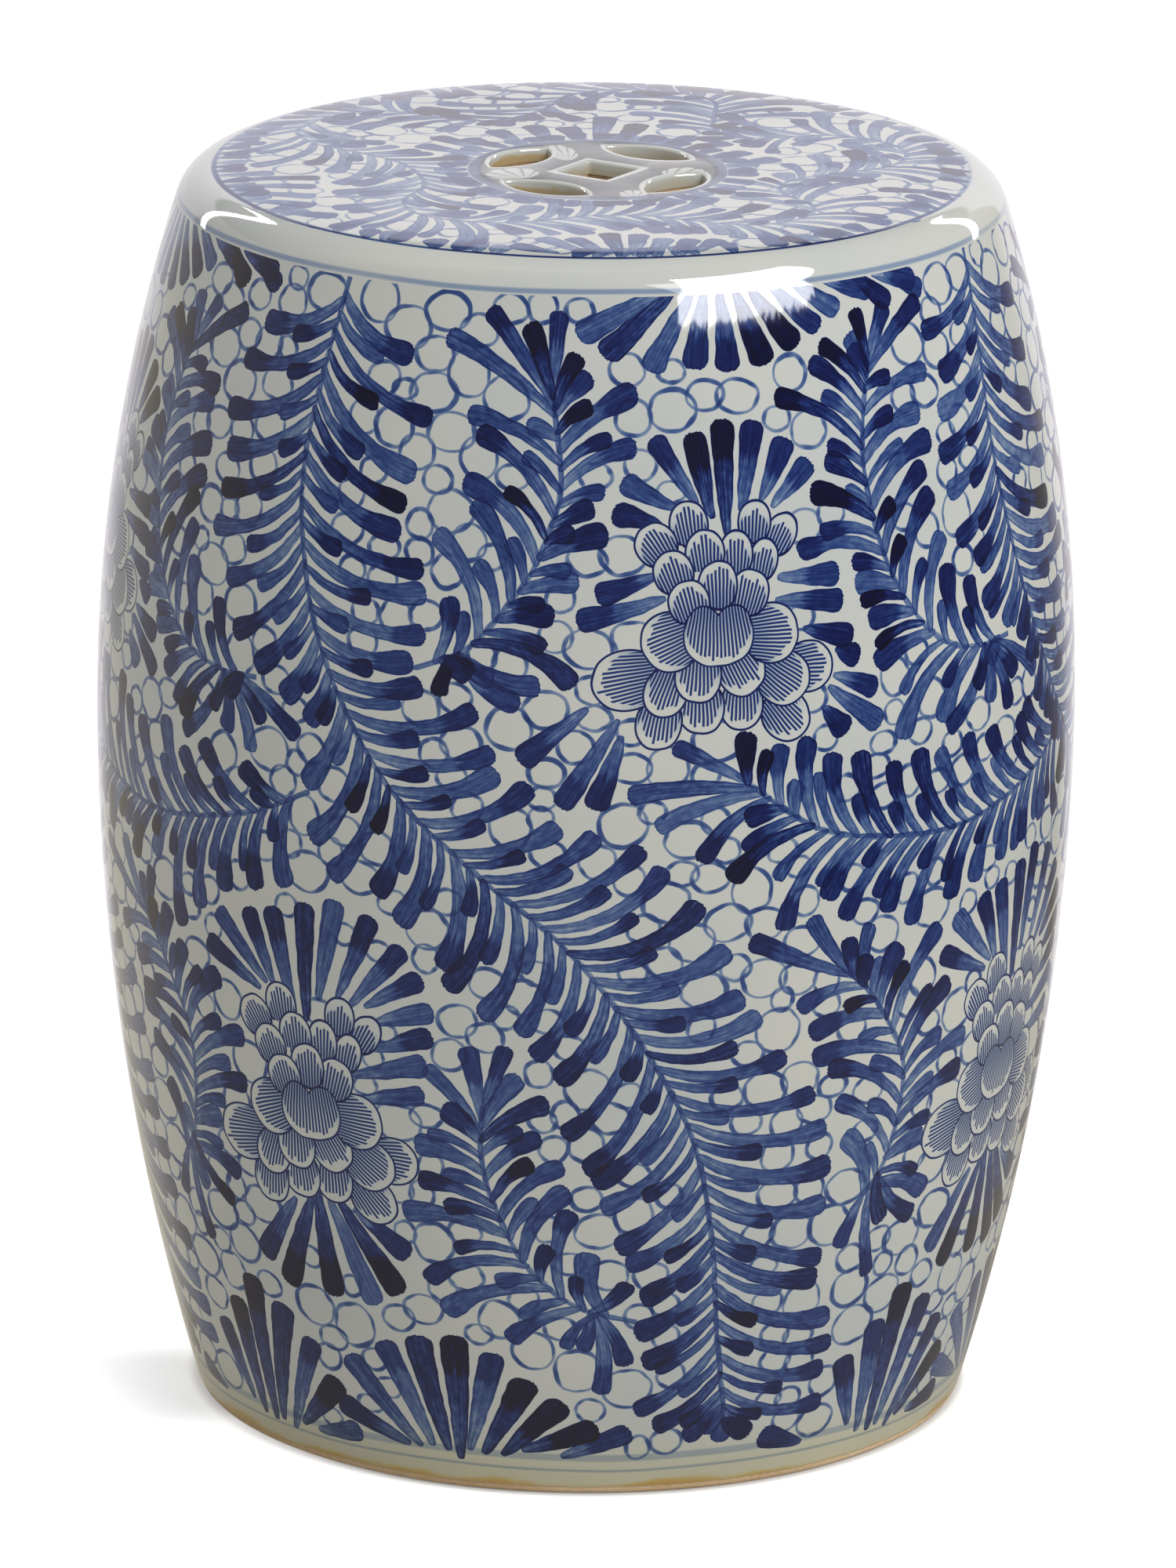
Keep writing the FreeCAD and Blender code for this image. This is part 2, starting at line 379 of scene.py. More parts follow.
def drawLeaves(side, line, owner, leftLong, leftShort, rightLong, rightShort, closed=False):
    total = line[-1][2]
    for hand, longer, shorter in ((1.0, leftLong, leftShort), (-1.0, rightLong, rightShort)):
        far = fernSet["pitch"] * (0.5 if hand > 0 else 0.9)
        isLong = False
        while far < total:
            place = far + dice.uniform(-leafVary["place"], leafVary["place"])
            spot, heading = spotAlong(line, min(max(place, 0.0), total))
            isLong = not isLong
            # on the inside of a bend the leaves stand further apart
            inward = hand * bendNear(line, far) * fernSet["bendReach"]
            step = fernSet["pitch"] / min(max(1.0 - inward, fernSet["tightest"]), fernSet["widest"])
            length = (longer if isLong else shorter) * fernSet["longer"] * dice.uniform(*leafVary["length"])
            if not closed:
                full = min(1.0, (total - far) / fernSet["endReach"], far / fernSet["startReach"])
                length *= fernSet["endShare"] + (1.0 - fernSet["endShare"]) * full
            angle = fernSet["startAngle"] + dice.uniform(-leafVary["angle"], leafVary["angle"])
            bend = fernSet["bend"] + dice.uniform(-leafVary["bend"], leafVary["bend"])
            halfWidth = fernSet["longWidth" if isLong else "shortWidth"] * dice.uniform(*leafVary["width"])
            leaf = makeStroke(side, spot, heading + hand * math.radians(angle), length,
                              hand * math.radians(bend), halfWidth, pickTone(), True)
            drawIfFree(leaf, owner, fernSet["leastLong" if isLong else "leastShort"])
            far += step


def drawSpray(side, line, atEnd, tips, owner):
    # leaves at an end of a stem, each to a given tip
    total = line[-1][2]
    base, heading = spotAlong(line, total if atEnd else 0.0)
    if not atEnd:
        heading += math.pi
    for tip in tips:
        right, up = toLocal(side, base, tip[:2])
        aside = halfTurn(math.atan2(up, right) - heading)
        back = spraySet["back"] * min(1.0, abs(aside) / spraySet["backAngle"])
        root, _ = spotAlong(line, total - back if atEnd else back)
        turn = max(-spraySet["mostBent"], min(spraySet["mostBent"], spraySet["bend"] * aside))
        fat = spraySet["width"] * dice.uniform(*brush["widthVary"])
        tone = tip[2] if len(tip) > 2 else pickTone()
        draw(strokeTo(side, root, tip[:2], turn, fat, tone), owner)


print("turned shape and brush ready")


# The wall's painting. One repeat is 96 degrees wide as drawn; four repeats go round the stool, so the
# back half is drawn a little closer together than the front.

repeat = dict(width=96.0, count=4, trueUpTo=100.0)


def realAzimuth(drawn):
    span = repeat["width"] * repeat["count"]
    turns = math.floor((drawn + span / 2.0) / span)
    inside = drawn - turns * span
    limit = repeat["trueUpTo"]
    if abs(inside) > limit:
        squeeze = (180.0 - limit) / (span / 2.0 - limit)
        inside = math.copysign(limit + (abs(inside) - limit) * squeeze, inside)
    return inside + 360.0 * turns


ferns = dict(
    tall=dict(stem=[(-34.3, 443), (-36.9, 385), (-35.1, 343), (-30.6, 307), (-22.9, 271), (-12.8, 243),
                    (-2.4, 217), (6.2, 183), (13.4, 143), (16.7, 100), (18.2, 66), (20.9, 25)],
              leaves=(41, 25, 37, 22), endTips=[(20.2, 19), (15, 22), (25, 21)], rootTips=[]),
    besideFlower=dict(stem=[(-18.8, 316), (-13.5, 324), (-7.5, 346), (-4.7, 364), (-3.3, 383), (-4.7, 414)],
                      leaves=(32, 18, 34, 20),
                      endTips=[(-18.8, 430), (-13.5, 440), (-7.9, 436), (-4, 440), (-1.4, 426)],
                      rootTips=[(-17, 305, "dark"), (-10.5, 312), (-7.5, 304), (-5.3, 311)]),
    high=dict(stem=[(57.5, 309), (51.9, 309), (45.9, 315), (40.6, 331), (37.2, 352), (35.6, 381),
                    (36.7, 403), (38.7, 420)],
              leaves=(34, 20, 30, 17),
              endTips=[(37.2, 435), (42.5, 435), (49, 434), (31, 425, "dark"), (35.5, 427)],
              rootTips=[(46.2, 282), (51.3, 294), (54, 287), (58.2, 282), (59.9, 293), (65, 291)],
              leftCopy=(-3.8, -8.0)),
    across=dict(stem=[(73.2, 267), (66.1, 257), (56, 249), (47.4, 245.6), (38, 248), (28.7, 254),
                      (21.2, 269), (17.5, 278)],
                leaves=(34, 20, 34, 19),
                endTips=[(10, 290), (4.9, 272), (8.1, 260), (13.4, 247, "deep")], rootTips=[],
                leftCopy=(-11.7, -5.0)),
    low=dict(stem=[(5.9, 72), (-0.8, 78), (-6.8, 94), (-10.5, 116), (-12, 134), (-11.8, 153)],
             leaves=(34, 20, 28, 17),
             endTips=[(-18.8, 168), (-13.5, 177), (-8.8, 178), (-7.2, 167), (-3.8, 157)],
             rootTips=[(6.2, 87), (0.2, 60), (2.9, 42), (6.2, 53)]),
    between=dict(stem=[(-59.4, 109), (-56, 122), (-54.3, 142), (-54.5, 161), (-57.5, 178), (-62, 196),
                       (-65, 200)],
                 leaves=(30, 17, 34, 19),
                 endTips=[(-76.6, 217), (-69, 223), (-63.9, 213), (-60.9, 217)],
                 rootTips=[(-61.4, 92), (-55.8, 78), (-54.8, 99), (-49.3, 98)]),
)

# A petal: how far right and up its middle is from the heart's middle, width, height and lean
petals = [
    (0.0, 0.0, 24.6, 21.0, 0.0),
    (-10.6, 12.5, 14.5, 15.5, 14), (0.0, 18.0, 14.0, 17.0, 0), (11.4, 14.5, 14.5, 16.5, -16),
    (-16.0, 23.0, 14.0, 15.5, 18), (-4.4, 29.6, 14.0, 16.0, 4), (7.2, 28.5, 12.0, 16.5, -3),
    (17.3, 25.8, 11.0, 15.0, -14),
    (-22.2, 33.0, 14.5, 15.5, 34), (-10.2, 40.0, 13.5, 16.0, 8), (14.6, 39.3, 12.0, 15.0, -6),
    (24.6, 34.2, 11.5, 15.5, -28),
    (-17.5, -1.2, 21.0, 20.0, 112), (19.5, -0.2, 21.0, 20.0, -92),
    (-7.6, -13.8, 16.5, 18.5, 176), (8.0, -12.6, 17.0, 18.0, -150),
    (-19.0, -19.0, 15.5, 18.0, 160), (23.6, -16.5, 19.0, 20.0, -128),
    (-32.5, -14.5, 21.0, 24.0, 100), (33.2, -13.5, 18.0, 19.0, -92),
    (-21.5, -30.0, 16.0, 19.0, 170), (-6.6, -25.0, 16.5, 18.5, 180), (8.0, -25.0, 15.5, 17.5, 178),
    (24.2, -30.0, 17.0, 19.5, -140),
]
petalGrown = 1.06  # petals are drawn a little larger than listed, so that they overlap
flowerHearts = [(15.4, 328), (-34.4, 143)]

raySet = dict(bend=0.12, width=(4.0, 4.6), lowBelow=120.0, lowWider=0.5)

# Straight strokes, from azimuth and height at the root to azimuth and height at the tip
rays = [
    (13, 375, 7.9, 398), (14.9, 370, 13, 399, "dark"), (16.7, 364, 16.7, 403, "dark"),
    (18.6, 372, 20.7, 402), (21.2, 375, 25, 395), (22.7, 372, 28, 386), (10.7, 373, 4, 383),
    (8.5, 368, 2.9, 372, "deep"), (8.1, 350, 1, 343), (8.9, 342, -1.3, 334), (23.1, 347, 31, 346),
    (22.7, 339, 31.2, 336), (26.1, 328, 32.5, 323), (30.2, 319, 33.2, 315), (29.8, 310, 35.5, 303),
    (29.1, 306, 36, 290), (28.3, 299, 31.3, 289), (3.6, 299, -2.8, 268), (4, 293, 1, 267),
    (0, 303, -7.5, 284),
    (-41, 187, -49.7, 199), (-39.9, 190, -47.4, 212), (-38.8, 190, -42.5, 216), (-35.8, 181, -38.6, 219),
    (-34.1, 179, -33.8, 223, "dark"), (-32.3, 188, -29.8, 226), (-29.6, 190, -25.1, 222),
    (-28.1, 187, -21, 212), (-25.9, 188, -18.8, 201), (-24.8, 182, -17.5, 189), (-25.1, 172, -17.6, 180),
    (-27.8, 161, -18.4, 169), (-27, 152, -18.8, 157), (-38.1, 107, -44.8, 80),
    (-35.4, 109, -40.9, 71, "dark"), (-34.3, 112, -33.4, 71, "dark"), (-32.6, 110, -27.4, 71),
    (-31.1, 110, -23.6, 77, "dark"), (-28.9, 108, -21.8, 93),
    (9.5, 447, -1.6, 432), (11, 446, 1.7, 425, "dark"), (13.5, 445, 7.7, 420), (15.3, 445, 13.5, 420),
    (17.5, 445, 17.9, 419), (19.7, 445, 22.9, 420), (22, 445, 27.6, 425), (25, 446, 31.3, 430),
    (28, 447, 34.7, 435), (32.5, 447, 40.6, 440), (41.5, 445, 49, 440), (43.5, 446, 50, 436),
    (38, 446, 43.5, 434),
    (-54.1, 17, -57.5, 46), (-51.7, 13, -52.8, 58), (-49.3, 12, -48.2, 70, "dark"), (-47.6, 13, -42.9, 62),
    (-45.3, 11, -38.4, 51), (-43.1, 14, -34.9, 36, "dark"), (-40.1, 13, -32.3, 17),
    (-24.8, 16, -35.3, 28), (-22.9, 16, -32.6, 48), (-21, 17, -27, 57), (-18.6, 16, -21.8, 61, "dark"),
    (-16.9, 13, -16.7, 63, "dark"), (-15.4, 17, -11.3, 57), (-13.2, 16, -6.8, 47),
    (-10.5, 16, -1.9, 38, "dark"), (-7.5, 18, 2.7, 28), (-2, 16, 7.4, 26), (33.5, 14, 26.5, 20),
]


def moved(points, shift, lift=0.0):
    return [(realAzimuth(point[0] + shift), point[1] + lift) + tuple(point[2:]) for point in points]


def drawFlower(heart):
    half = petalGrown / 2.0
    for order, (right, up, width, height, lean) in enumerate(petals):
        spot = wallMove(heart, right, up)
        wall["petals"].append(dict(spot=spot, halfWidth=half * width, halfHeight=half * height,
                                   lean=math.radians(90.0 + lean), order=order))
        remember(wall, wallPoint(spot), min(width, height) / 2.0, "petals")


def paintWall():
    shifts = [repeat["width"] * (i - 1) for i in range(repeat["count"])]
    for shift in shifts:
        for heart in flowerHearts:
            drawFlower(moved([heart], shift)[0])
        for ray in rays:
            root, tip = moved([ray[:2], ray[2:4]], shift)
            tone = ray[4] if len(ray) > 4 else pickTone()
            bend = dice.uniform(-raySet["bend"], raySet["bend"])
            fat = raySet["width"][1] if tone == "dark" else dice.uniform(*raySet["width"])
            if root[1] < raySet["lowBelow"]:
                fat += raySet["lowWider"]
            draw(strokeTo(wall, root, tip, bend, fat, tone), "rays")
    lines = []
    for shift in shifts:
        for name, fern in ferns.items():
            owner = name + str(shift)
            # the copy at the left edge isn't quite where the others are
            aside, lift = fern.get("leftCopy", (0.0, 0.0)) if shift < 0.0 else (0.0, 0.0)
            line = drawStem(wall, moved(fern["stem"], shift + aside, lift), owner)
            drawSpray(wall, line, True, moved(fern["endTips"], shift + aside, lift), owner)
            drawSpray(wall, line, False, moved(fern["rootTips"], shift + aside, lift), owner)
            lines.append((line, owner, fern["leaves"]))
    for line, owner, lengths in lines:
        drawLeaves(wall, line, owner, *lengths)


paintWall()
print("wall painting laid out:", len(wall["strokes"]), "strokes")


# The seat's painting: one wavy stem round the pierced coin, short strokes along both rings

coin = dict(middle=(2.0, -9.0), ring=44.5, turn=57.0, squareSide=21.0, lensCount=4,
            lensMiddle=33.2, lensLength=36.0, lensWidth=17.5, rimRound=1.0, glazeDepth=4.5)
seatSet = dict(leaves=(30, 21, 36, 25), fanWidth=4.0, coinFanWidth=4.6, lean=0.3, length=(0.8, 1.2),
               fromLine=1.5)
# rows of short strokes: along the painted line pointing inwards, along the coin's ring pointing outwards
edgeRow = dict(owner="edge", pitch=7.2, facing=math.pi, length=30.0, width=4.1, bend=0.4, least=10.0,
               place=0.008, sway=0.35, swayCount=5)
coinRow = dict(owner="coinEdge", pitch=7.0, facing=0.0, length=36.0, width=4.4, bend=0.5, least=9.0,
               place=0.0, sway=0.0, swayCount=0)

seatStem = [
    (-107, 45), (-101, 28), (-86, 15), (-70, 0), (-62, -18), (-60, -38), (-66, -56), (-65, -71), (-56, -84),
    (-38, -91), (-20, -88), (0, -79), (20, -78), (38, -85), (55, -90), (69, -85), (78, -72), (78, -58),
    (70, -46), (67, -34), (72, -21), (86, -11), (103, -2), (112, 10), (113, 26), (104, 41), (86, 49),
    (66, 44), (51, 44), (44, 60), (45, 82), (44, 102), (30, 116), (8, 119), (-8, 109), (-15, 92),
    (-25, 75), (-42, 65), (-58, 72), (-75, 80), (-92, 74), (-102, 60),
]

seatFan = [
    (10, -133, 6, -104, "dark"), (5, -132, -7, -112), (-2, -131, -18, -112), (15, -132, 17, -105),
    (22, -132, 26, -111), (29, -130, 36, -111), (37, -127, 45, -111), (-12, -131, -28, -122),
    (131, -37, 102, -34, "dark"), (-133, -29, -97, -26, "dark"), (-131, -37, -98, -40),
    (-127, -46, -98, -55), (-122, -57, -98, -68), (-112, -74, -90, -83),
]

# strokes that stand out from the coin's ring, mostly behind it
coinFan = [
    (2, 36, 5, 75), (10, 34, 17, 64, "dark"), (-3, 37, -10, 58), (17, 30, 24, 46, "dark"), (24, 27, 38, 45),
    (32, 23, 50, 36), (40, 3, 56, 22), (43, -5, 67, 12), (-45, 14, -63, 27), (-40, 22, -57, 40, "deep"),
    (-35, 25, -46, 38, "dark"), (-26, 30, -36, 52), (-15, 34, -22, 60), (46, -14, 60, -12),
]


def fanStrokes(fan):
    for stroke in fan:
        yield stroke[:2], stroke[2:4], stroke[4] if len(stroke) > 4 else "plain"


def strokeRow(row, middle, radius):
    for i in range(int(2 * math.pi * radius / row["pitch"])):
        around = i * row["pitch"] / radius
        if row["place"]:
            around += dice.uniform(-row["place"], row["place"])
        lean = dice.uniform(-seatSet["lean"], seatSet["lean"])
        lean += row["sway"] * math.sin(row["swayCount"] * around)
        root = (middle[0] + radius * math.cos(around), middle[1] + radius * math.sin(around))
        length = row["length"] * dice.uniform(*seatSet["length"])
        fat = row["width"] * dice.uniform(*brush["widthVary"])
        stroke = makeStroke(seat, root, around + row["facing"] + lean, length, -row["bend"] * lean, fat,
                            pickTone())
        drawIfFree(stroke, row["owner"], row["least"])


def paintSeat():
    line = drawStem(seat, seatStem, "seatStem", True)
    for root, tip, tone in fanStrokes(seatFan):
        draw(strokeTo(seat, root, tip, 0.0, seatSet["fanWidth"], tone), "fan")
    for root, tip, tone in fanStrokes(coinFan):
        stroke = strokeTo(seat, root, tip, 0.0, seatSet["coinFanWidth"], tone)
        drawIfFree(stroke, "fan", coinRow["least"])
    drawLeaves(seat, line, "seatStem", *seatSet["leaves"], True)
    strokeRow(edgeRow, (0.0, 0.0), edges["seatLine"] - seatSet["fromLine"])
    strokeRow(coinRow, coin["middle"], coin["ring"])


paintSeat()
print("seat painting laid out:", len(seat["strokes"]), "strokes")


# Rings drawn in what is left white, each new one beside the last like froth

ringSet = dict(grid=2.6, sizes=(8.6, 7.3, 6.0, 5.0, 4.1), leaf=(1.8, 3.0), ray=(2.2, 1.8), overlap=1.2,
               sweeps=5, flat=(0.95, 1.14), kinds=64, wallFrom=17.0, wallTo=445.0, wallVary=(0.3, 0.9),
               seatVary=0.8, seatInset=5.0, coinClear=4.0, overWall=0.8, overSeat=1.0)


def makeTree(points):
    tree = kdtree.KDTree(len(points))
    for i, point in enumerate(points):
        tree.insert(point, i)
    tree.balance()
    return tree


def drawRings(side, spots, allowed):
    # the widest rings come first, then smaller ones, each as wide as what is drawn beside it allows;
    # a ring goes a little way under leaves and strokes, where its middle lies far enough from them
    spots = list(spots)
    points = [side["point"](spot) for spot in spots]
    marks = [(point, halfWidth, ringSet["ray"] if owner == "rays" else ringSet["leaf"])
             for cell in side["drawn"].values() for point, halfWidth, owner in cell]
    drawn = makeTree([point for point, _, _ in marks])
    near = makeTree(points)

    def roomAt(spot, point):
        room = allowed(spot)
        for _, i, far in drawn.find_n(point, 8):
            _, halfWidth, (clear, under) = marks[i]
            if far - halfWidth < clear:
                return 0.0
            room = min(room, far - halfWidth + under)
        return room

    room = np.array([roomAt(spot, point) for spot, point in zip(spots, points)])
    for high, low in zip(ringSet["sizes"], ringSet["sizes"][1:]):
        for _ in range(ringSet["sweeps"]):
            fits = [int(i) for i in np.flatnonzero((room >= low) & (room < high))]
            if not fits:
                break
            dice.shuffle(fits)
            for i in fits:
                radius = float(room[i])
                if not low <= radius < high:
                    continue
                side["rings"].append(dict(spot=spots[i], radius=radius, flat=dice.uniform(*ringSet["flat"]),
                                          own=dice.randrange(ringSet["kinds"])))
                for _, j, far in near.find_range(points[i], radius + high + ringSet["sizes"][0]):
                    room[j] = min(room[j], far - radius + ringSet["overlap"])


def wallSpots():
    z = ringSet["wallFrom"]
    around, rise = ringSet["wallVary"]
    while z < ringSet["wallTo"]:
        step = math.degrees(ringSet["grid"] / float(wallRadius(z)))
        for i in range(int(360.0 / step)):
            yield (i * step + dice.uniform(-around, around), z + dice.uniform(-rise, rise))
        z += ringSet["grid"]


def fromCoin(x, y):
    return math.hypot(x - coin["middle"][0], y - coin["middle"][1]) - coin["ring"]


def seatSpots():
    reach = edges["seatLine"] - ringSet["seatInset"]
    vary = ringSet["seatVary"]
    count = int(reach / ringSet["grid"])
    for i in range(-count, count + 1):
        for j in range(-count, count + 1):
            x, y = i * ringSet["grid"], j * ringSet["grid"]
            if math.hypot(x, y) < reach and fromCoin(x, y) > ringSet["coinClear"]:
                yield (x + dice.uniform(-vary, vary), y + dice.uniform(-vary, vary))


def wallFree(spot):
    return wallRoom(spot) + ringSet["overWall"]


def seatFree(spot):
    return min(seatRoom(spot) + ringSet["overSeat"], fromCoin(*spot))


drawRings(wall, wallSpots(), wallFree)
drawRings(seat, seatSpots(), seatFree)
print("rings drawn:", len(wall["rings"]), "on the wall,", len(seat["rings"]), "on the seat")


# Putting the marks on the faces: each face keeps the few marks nearest to it, as how far along and
# how far aside its corners lie, in millimetres, and one number that says the mark's size and tone

layers = dict(stroke=5, stem=1, ring=3, petal=3)
margins = dict(stroke=2.6, stem=3.2, ring=3.0, petal=2.4)
packing = dict(width=64, length=128, pressed=4, radius=128, petal=256, heart=65536)
farAway = 99.0
notMarked = 1e6


def readMesh(collection, field, count, kind):
    values = np.empty(count, dtype=kind)
    collection.foreach_get(field, values)
    return values


def makeCanvas(side, mesh):
    corners = readMesh(mesh.loops, "vertex_index", len(mesh.loops), np.int32)
    places = readMesh(mesh.vertices, "co", len(mesh.vertices) * 3, np.float32)
    places = places.reshape(-1, 3).astype(np.float64) / mm
    starts = readMesh(mesh.polygons, "loop_start", len(mesh.polygons), np.int32)
    sizes = readMesh(mesh.polygons, "loop_total", len(mesh.polygons), np.int32)
    starts = starts[sizes == 4]
    corner = places[corners[starts[:, None] + np.arange(4)]]
    centre = corner.mean(axis=1)
    canvas = dict(side=side, starts=starts, corner=corner, centre=centre, tree=makeTree(centre),
                  loops=len(mesh.loops), layer={})
    for name, slots in layers.items():
        value = np.zeros((len(starts), slots, 4, 3))
        value[..., 0:2] = farAway
        canvas["layer"][name] = dict(far=np.full((len(starts), slots), notMarked), value=value)
    return canvas


def keep(layer, faces, far, first, second, code):
    worst = layer["far"][faces].argmax(axis=1)
    wins = layer["far"][faces, worst] > far
    faces, worst, far = faces[wins], worst[wins], far[wins]
    layer["far"][faces, worst] = far
    layer["value"][faces, worst] = np.stack(
        [first[wins], second[wins], np.full(first[wins].shape, float(code))], axis=-1)


def alongStroke(stroke, right, up):
    forward, left = turned(right, up, stroke["heading"])
    if abs(stroke["turn"]) < brush["straight"]:
        return forward, left
    radius = stroke["length"] / stroke["turn"]
    far = radius * np.arctan2(forward / radius, (radius - left) / radius)
    return far, radius - math.copysign(1.0, radius) * np.hypot(forward, left - radius)


def outsideStroke(stroke, far, left):
    body = stroke["length"] - stroke["halfWidth"]
    over = np.maximum(far - body, 0.0) + np.maximum(-far, 0.0)
    return np.hypot(over, left) - widthAt(stroke, far)


def layMark(canvas, kind, middle, reach, measure, code):
    # measure says how far along and how far aside some points lie, and how far outside the mark
    faces = np.array([i for _, i, _ in canvas["tree"].find_range(middle, reach)], dtype=np.int64)
    if not len(faces):
        return
    outside = measure(canvas["centre"][faces])[2]
    near = outside < margins[kind]
    faces, outside = faces[near], outside[near]
    along, aside, _ = measure(canvas["corner"][faces])
    keep(canvas["layer"][kind], faces, outside, along, aside, code)


def layStroke(canvas, stroke):
    side = canvas["side"]

    def measure(points):
        far, left = alongStroke(stroke, *side["local"](points, stroke["spot"]))
        return far, left, outsideStroke(stroke, far, left)

    middle = side["point"](strokeSpot(stroke, stroke["length"] / 2.0))
    reach = stroke["length"] / 2.0 + stroke["halfWidth"] + margins["stroke"]
    kind = tones[stroke["tone"]] + (packing["pressed"] if stroke["pressed"] else 0)
    halves = round(stroke["length"] * 2) + packing["length"] * kind
    code = round(stroke["halfWidth"] * 10) + packing["width"] * halves
    layMark(canvas, "stroke", middle, reach, measure, code)


def layStem(canvas, line):
    side = canvas["side"]
    halfWidth = fernSet["stemWidth"]
    for (spot, _, far), (after, _, _) in zip(line, line[1:]):
        piece = strokeTo(side, spot, after, 0.0, halfWidth, "plain")

        def measure(points):
            along, left = alongStroke(piece, *side["local"](points, spot))
            beyond = np.maximum(along - piece["length"], 0.0) + np.maximum(-along, 0.0)
            return far + along, left, np.hypot(beyond, left) - halfWidth

        layMark(canvas, "stem", side["point"](spot), fernSet["stemReach"], measure, round(halfWidth * 10))


def layRing(canvas, ring):
    side = canvas["side"]

    def measure(points):
        right, up = side["local"](points, ring["spot"])
        right, up = right / ring["flat"], up * ring["flat"]
        return right, up, np.abs(np.hypot(right, up) - ring["radius"])

    layMark(canvas, "ring", side["point"](ring["spot"]), ring["radius"] + margins["ring"], measure,
            round(ring["radius"] * 10) + packing["radius"] * ring["own"])


def layPetal(canvas, petal):
    side = canvas["side"]
    margin = margins["petal"]

    def measure(points):
        # a petal in front counts as nearer
        along, aside = turned(*side["local"](points, petal["spot"]), petal["lean"])
        size = np.hypot(along / (petal["halfHeight"] + margin), aside / (petal["halfWidth"] + margin))
        return along, aside, np.where(size < 1.0, 0.01 * petal["order"], notMarked)

    code = round(petal["halfWidth"] * 10) + packing["petal"] * round(petal["halfHeight"] * 10)
    if petal["order"] == 0:
        code += packing["heart"]
    reach = max(petal["halfWidth"], petal["halfHeight"]) + margin
    layMark(canvas, "petal", side["point"](petal["spot"]), reach, measure, code)


def storeLayers(mesh, canvas):
    for name, layer in canvas["layer"].items():
        order = np.argsort(layer["far"], axis=1)
        value = np.take_along_axis(layer["value"], order[:, :, None, None], axis=1)
        for slot in range(layers[name]):
            flat = np.zeros((canvas["loops"], 3), dtype=np.float32)
            flat[:, 0:2] = farAway
            flat[canvas["starts"][:, None] + np.arange(4)] = value[:, slot]
            attribute = mesh.attributes.new(name + str(slot), "FLOAT_VECTOR", "CORNER")
            attribute.data.foreach_set("vector", flat.ravel())


def paintMesh(side, mesh):
    canvas = makeCanvas(side, mesh)
    for kind, lay in (("strokes", layStroke), ("stems", layStem), ("rings", layRing), ("petals", layPetal)):
        for mark in side[kind]:
            lay(canvas, mark)
    storeLayers(mesh, canvas)


# Small helpers for meshes

def arcOn(bm, last, centre, angle, steps):
    # spins a vertex of the half section about an arc's centre; a positive angle goes from +X up to +Z
    made = bmesh.ops.spin(bm, geom=[last], cent=(centre[0], 0.0, centre[1]), axis=(0.0, -1.0, 0.0),
                          angle=angle, steps=steps)
    return [item for item in made["geom_last"] if isinstance(item, bmesh.types.BMVert)][0]


def angleOf(centre, radius, height):
    return math.atan2(height - centre[1], radius - centre[0])


def spinRound(bm, steps):
    geometry = list(bm.verts) + list(bm.edges)
    bmesh.ops.spin(bm, geom=geometry, cent=(0, 0, 0), axis=(0, 0, 1), angle=2 * math.pi, steps=steps,
                   use_merge=True)
    bmesh.ops.remove_doubles(bm, verts=bm.verts, dist=0.0005)


def faceOutwards(bm):
    bmesh.ops.recalc_face_normals(bm, faces=bm.faces)
    outer = max(bm.faces, key=lambda face: math.hypot(*face.calc_center_median()[:2]))
    middle = outer.calc_center_median()
    if outer.normal.x * middle.x + outer.normal.y * middle.y < 0.0:
        bmesh.ops.reverse_faces(bm, faces=bm.faces)


def finishPiece(bm, name, material, nodes):
    bmesh.ops.scale(bm, vec=(mm, mm, mm), verts=bm.verts)
    mesh = bpy.data.meshes.new(name)
    bm.to_mesh(mesh)
    bm.free()
    for polygon in mesh.polygons:
        polygon.use_smooth = True
    piece = bpy.data.objects.new(name, mesh)
    bpy.context.scene.collection.objects.link(piece)
    mesh.materials.append(material)
    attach(piece, "root")
    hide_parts(*nodes)
    return piece


# Numbers inside a material. A Flow is a node's output that can be reckoned with like a plain number.

class Flow:
    def __init__(self, socket):
        self.socket = socket

    def __add__(self, other):
        return calc("ADD", self, other)

    def __radd__(self, other):
        return calc("ADD", other, self)

    def __sub__(self, other):
        return calc("SUBTRACT", self, other)

    def __rsub__(self, other):
        return calc("SUBTRACT", other, self)

    def __mul__(self, other):
        return calc("MULTIPLY", self, other)

    def __rmul__(self, other):
        return calc("MULTIPLY", other, self)

    def __truediv__(self, other):
        return calc("DIVIDE", self, other)

    def __pow__(self, other):
        return calc("POWER", self, other)

    def __gt__(self, other):
        return calc("GREATER_THAN", self, other)

    def __neg__(self):
        return calc("MULTIPLY", self, -1.0)

    def __abs__(self):
        return calc("ABSOLUTE", self)


def feed(socket, term):
    if isinstance(term, Flow):
        socket.id_data.links.new(term.socket, socket)
    else:
        socket.default_value = term


def addNode(terms, kind):
    # the new node goes where the first flowing term is
    tree = next(term.socket.id_data for term in terms if isinstance(term, Flow))
    return tree.nodes.new("ShaderNode" + kind)


def feedAll(made, terms):
    for socket, term in zip(made.inputs, terms):
        feed(socket, term)
    return Flow(made.outputs[0])


def calc(operation, *terms):
    made = addNode(terms, "Math")
    made.operation = operation
    return feedAll(made, terms)


def least(a, b):
    return calc("MINIMUM", a, b)


def most(a, b):
    return calc("MAXIMUM", a, b)


def floored(value):
    return calc("FLOOR", value)


def clamped(value):
    value.socket.node.use_clamp = True
    return value


def distance(x, y):
    return calc("SQRT", x * x + y * y)


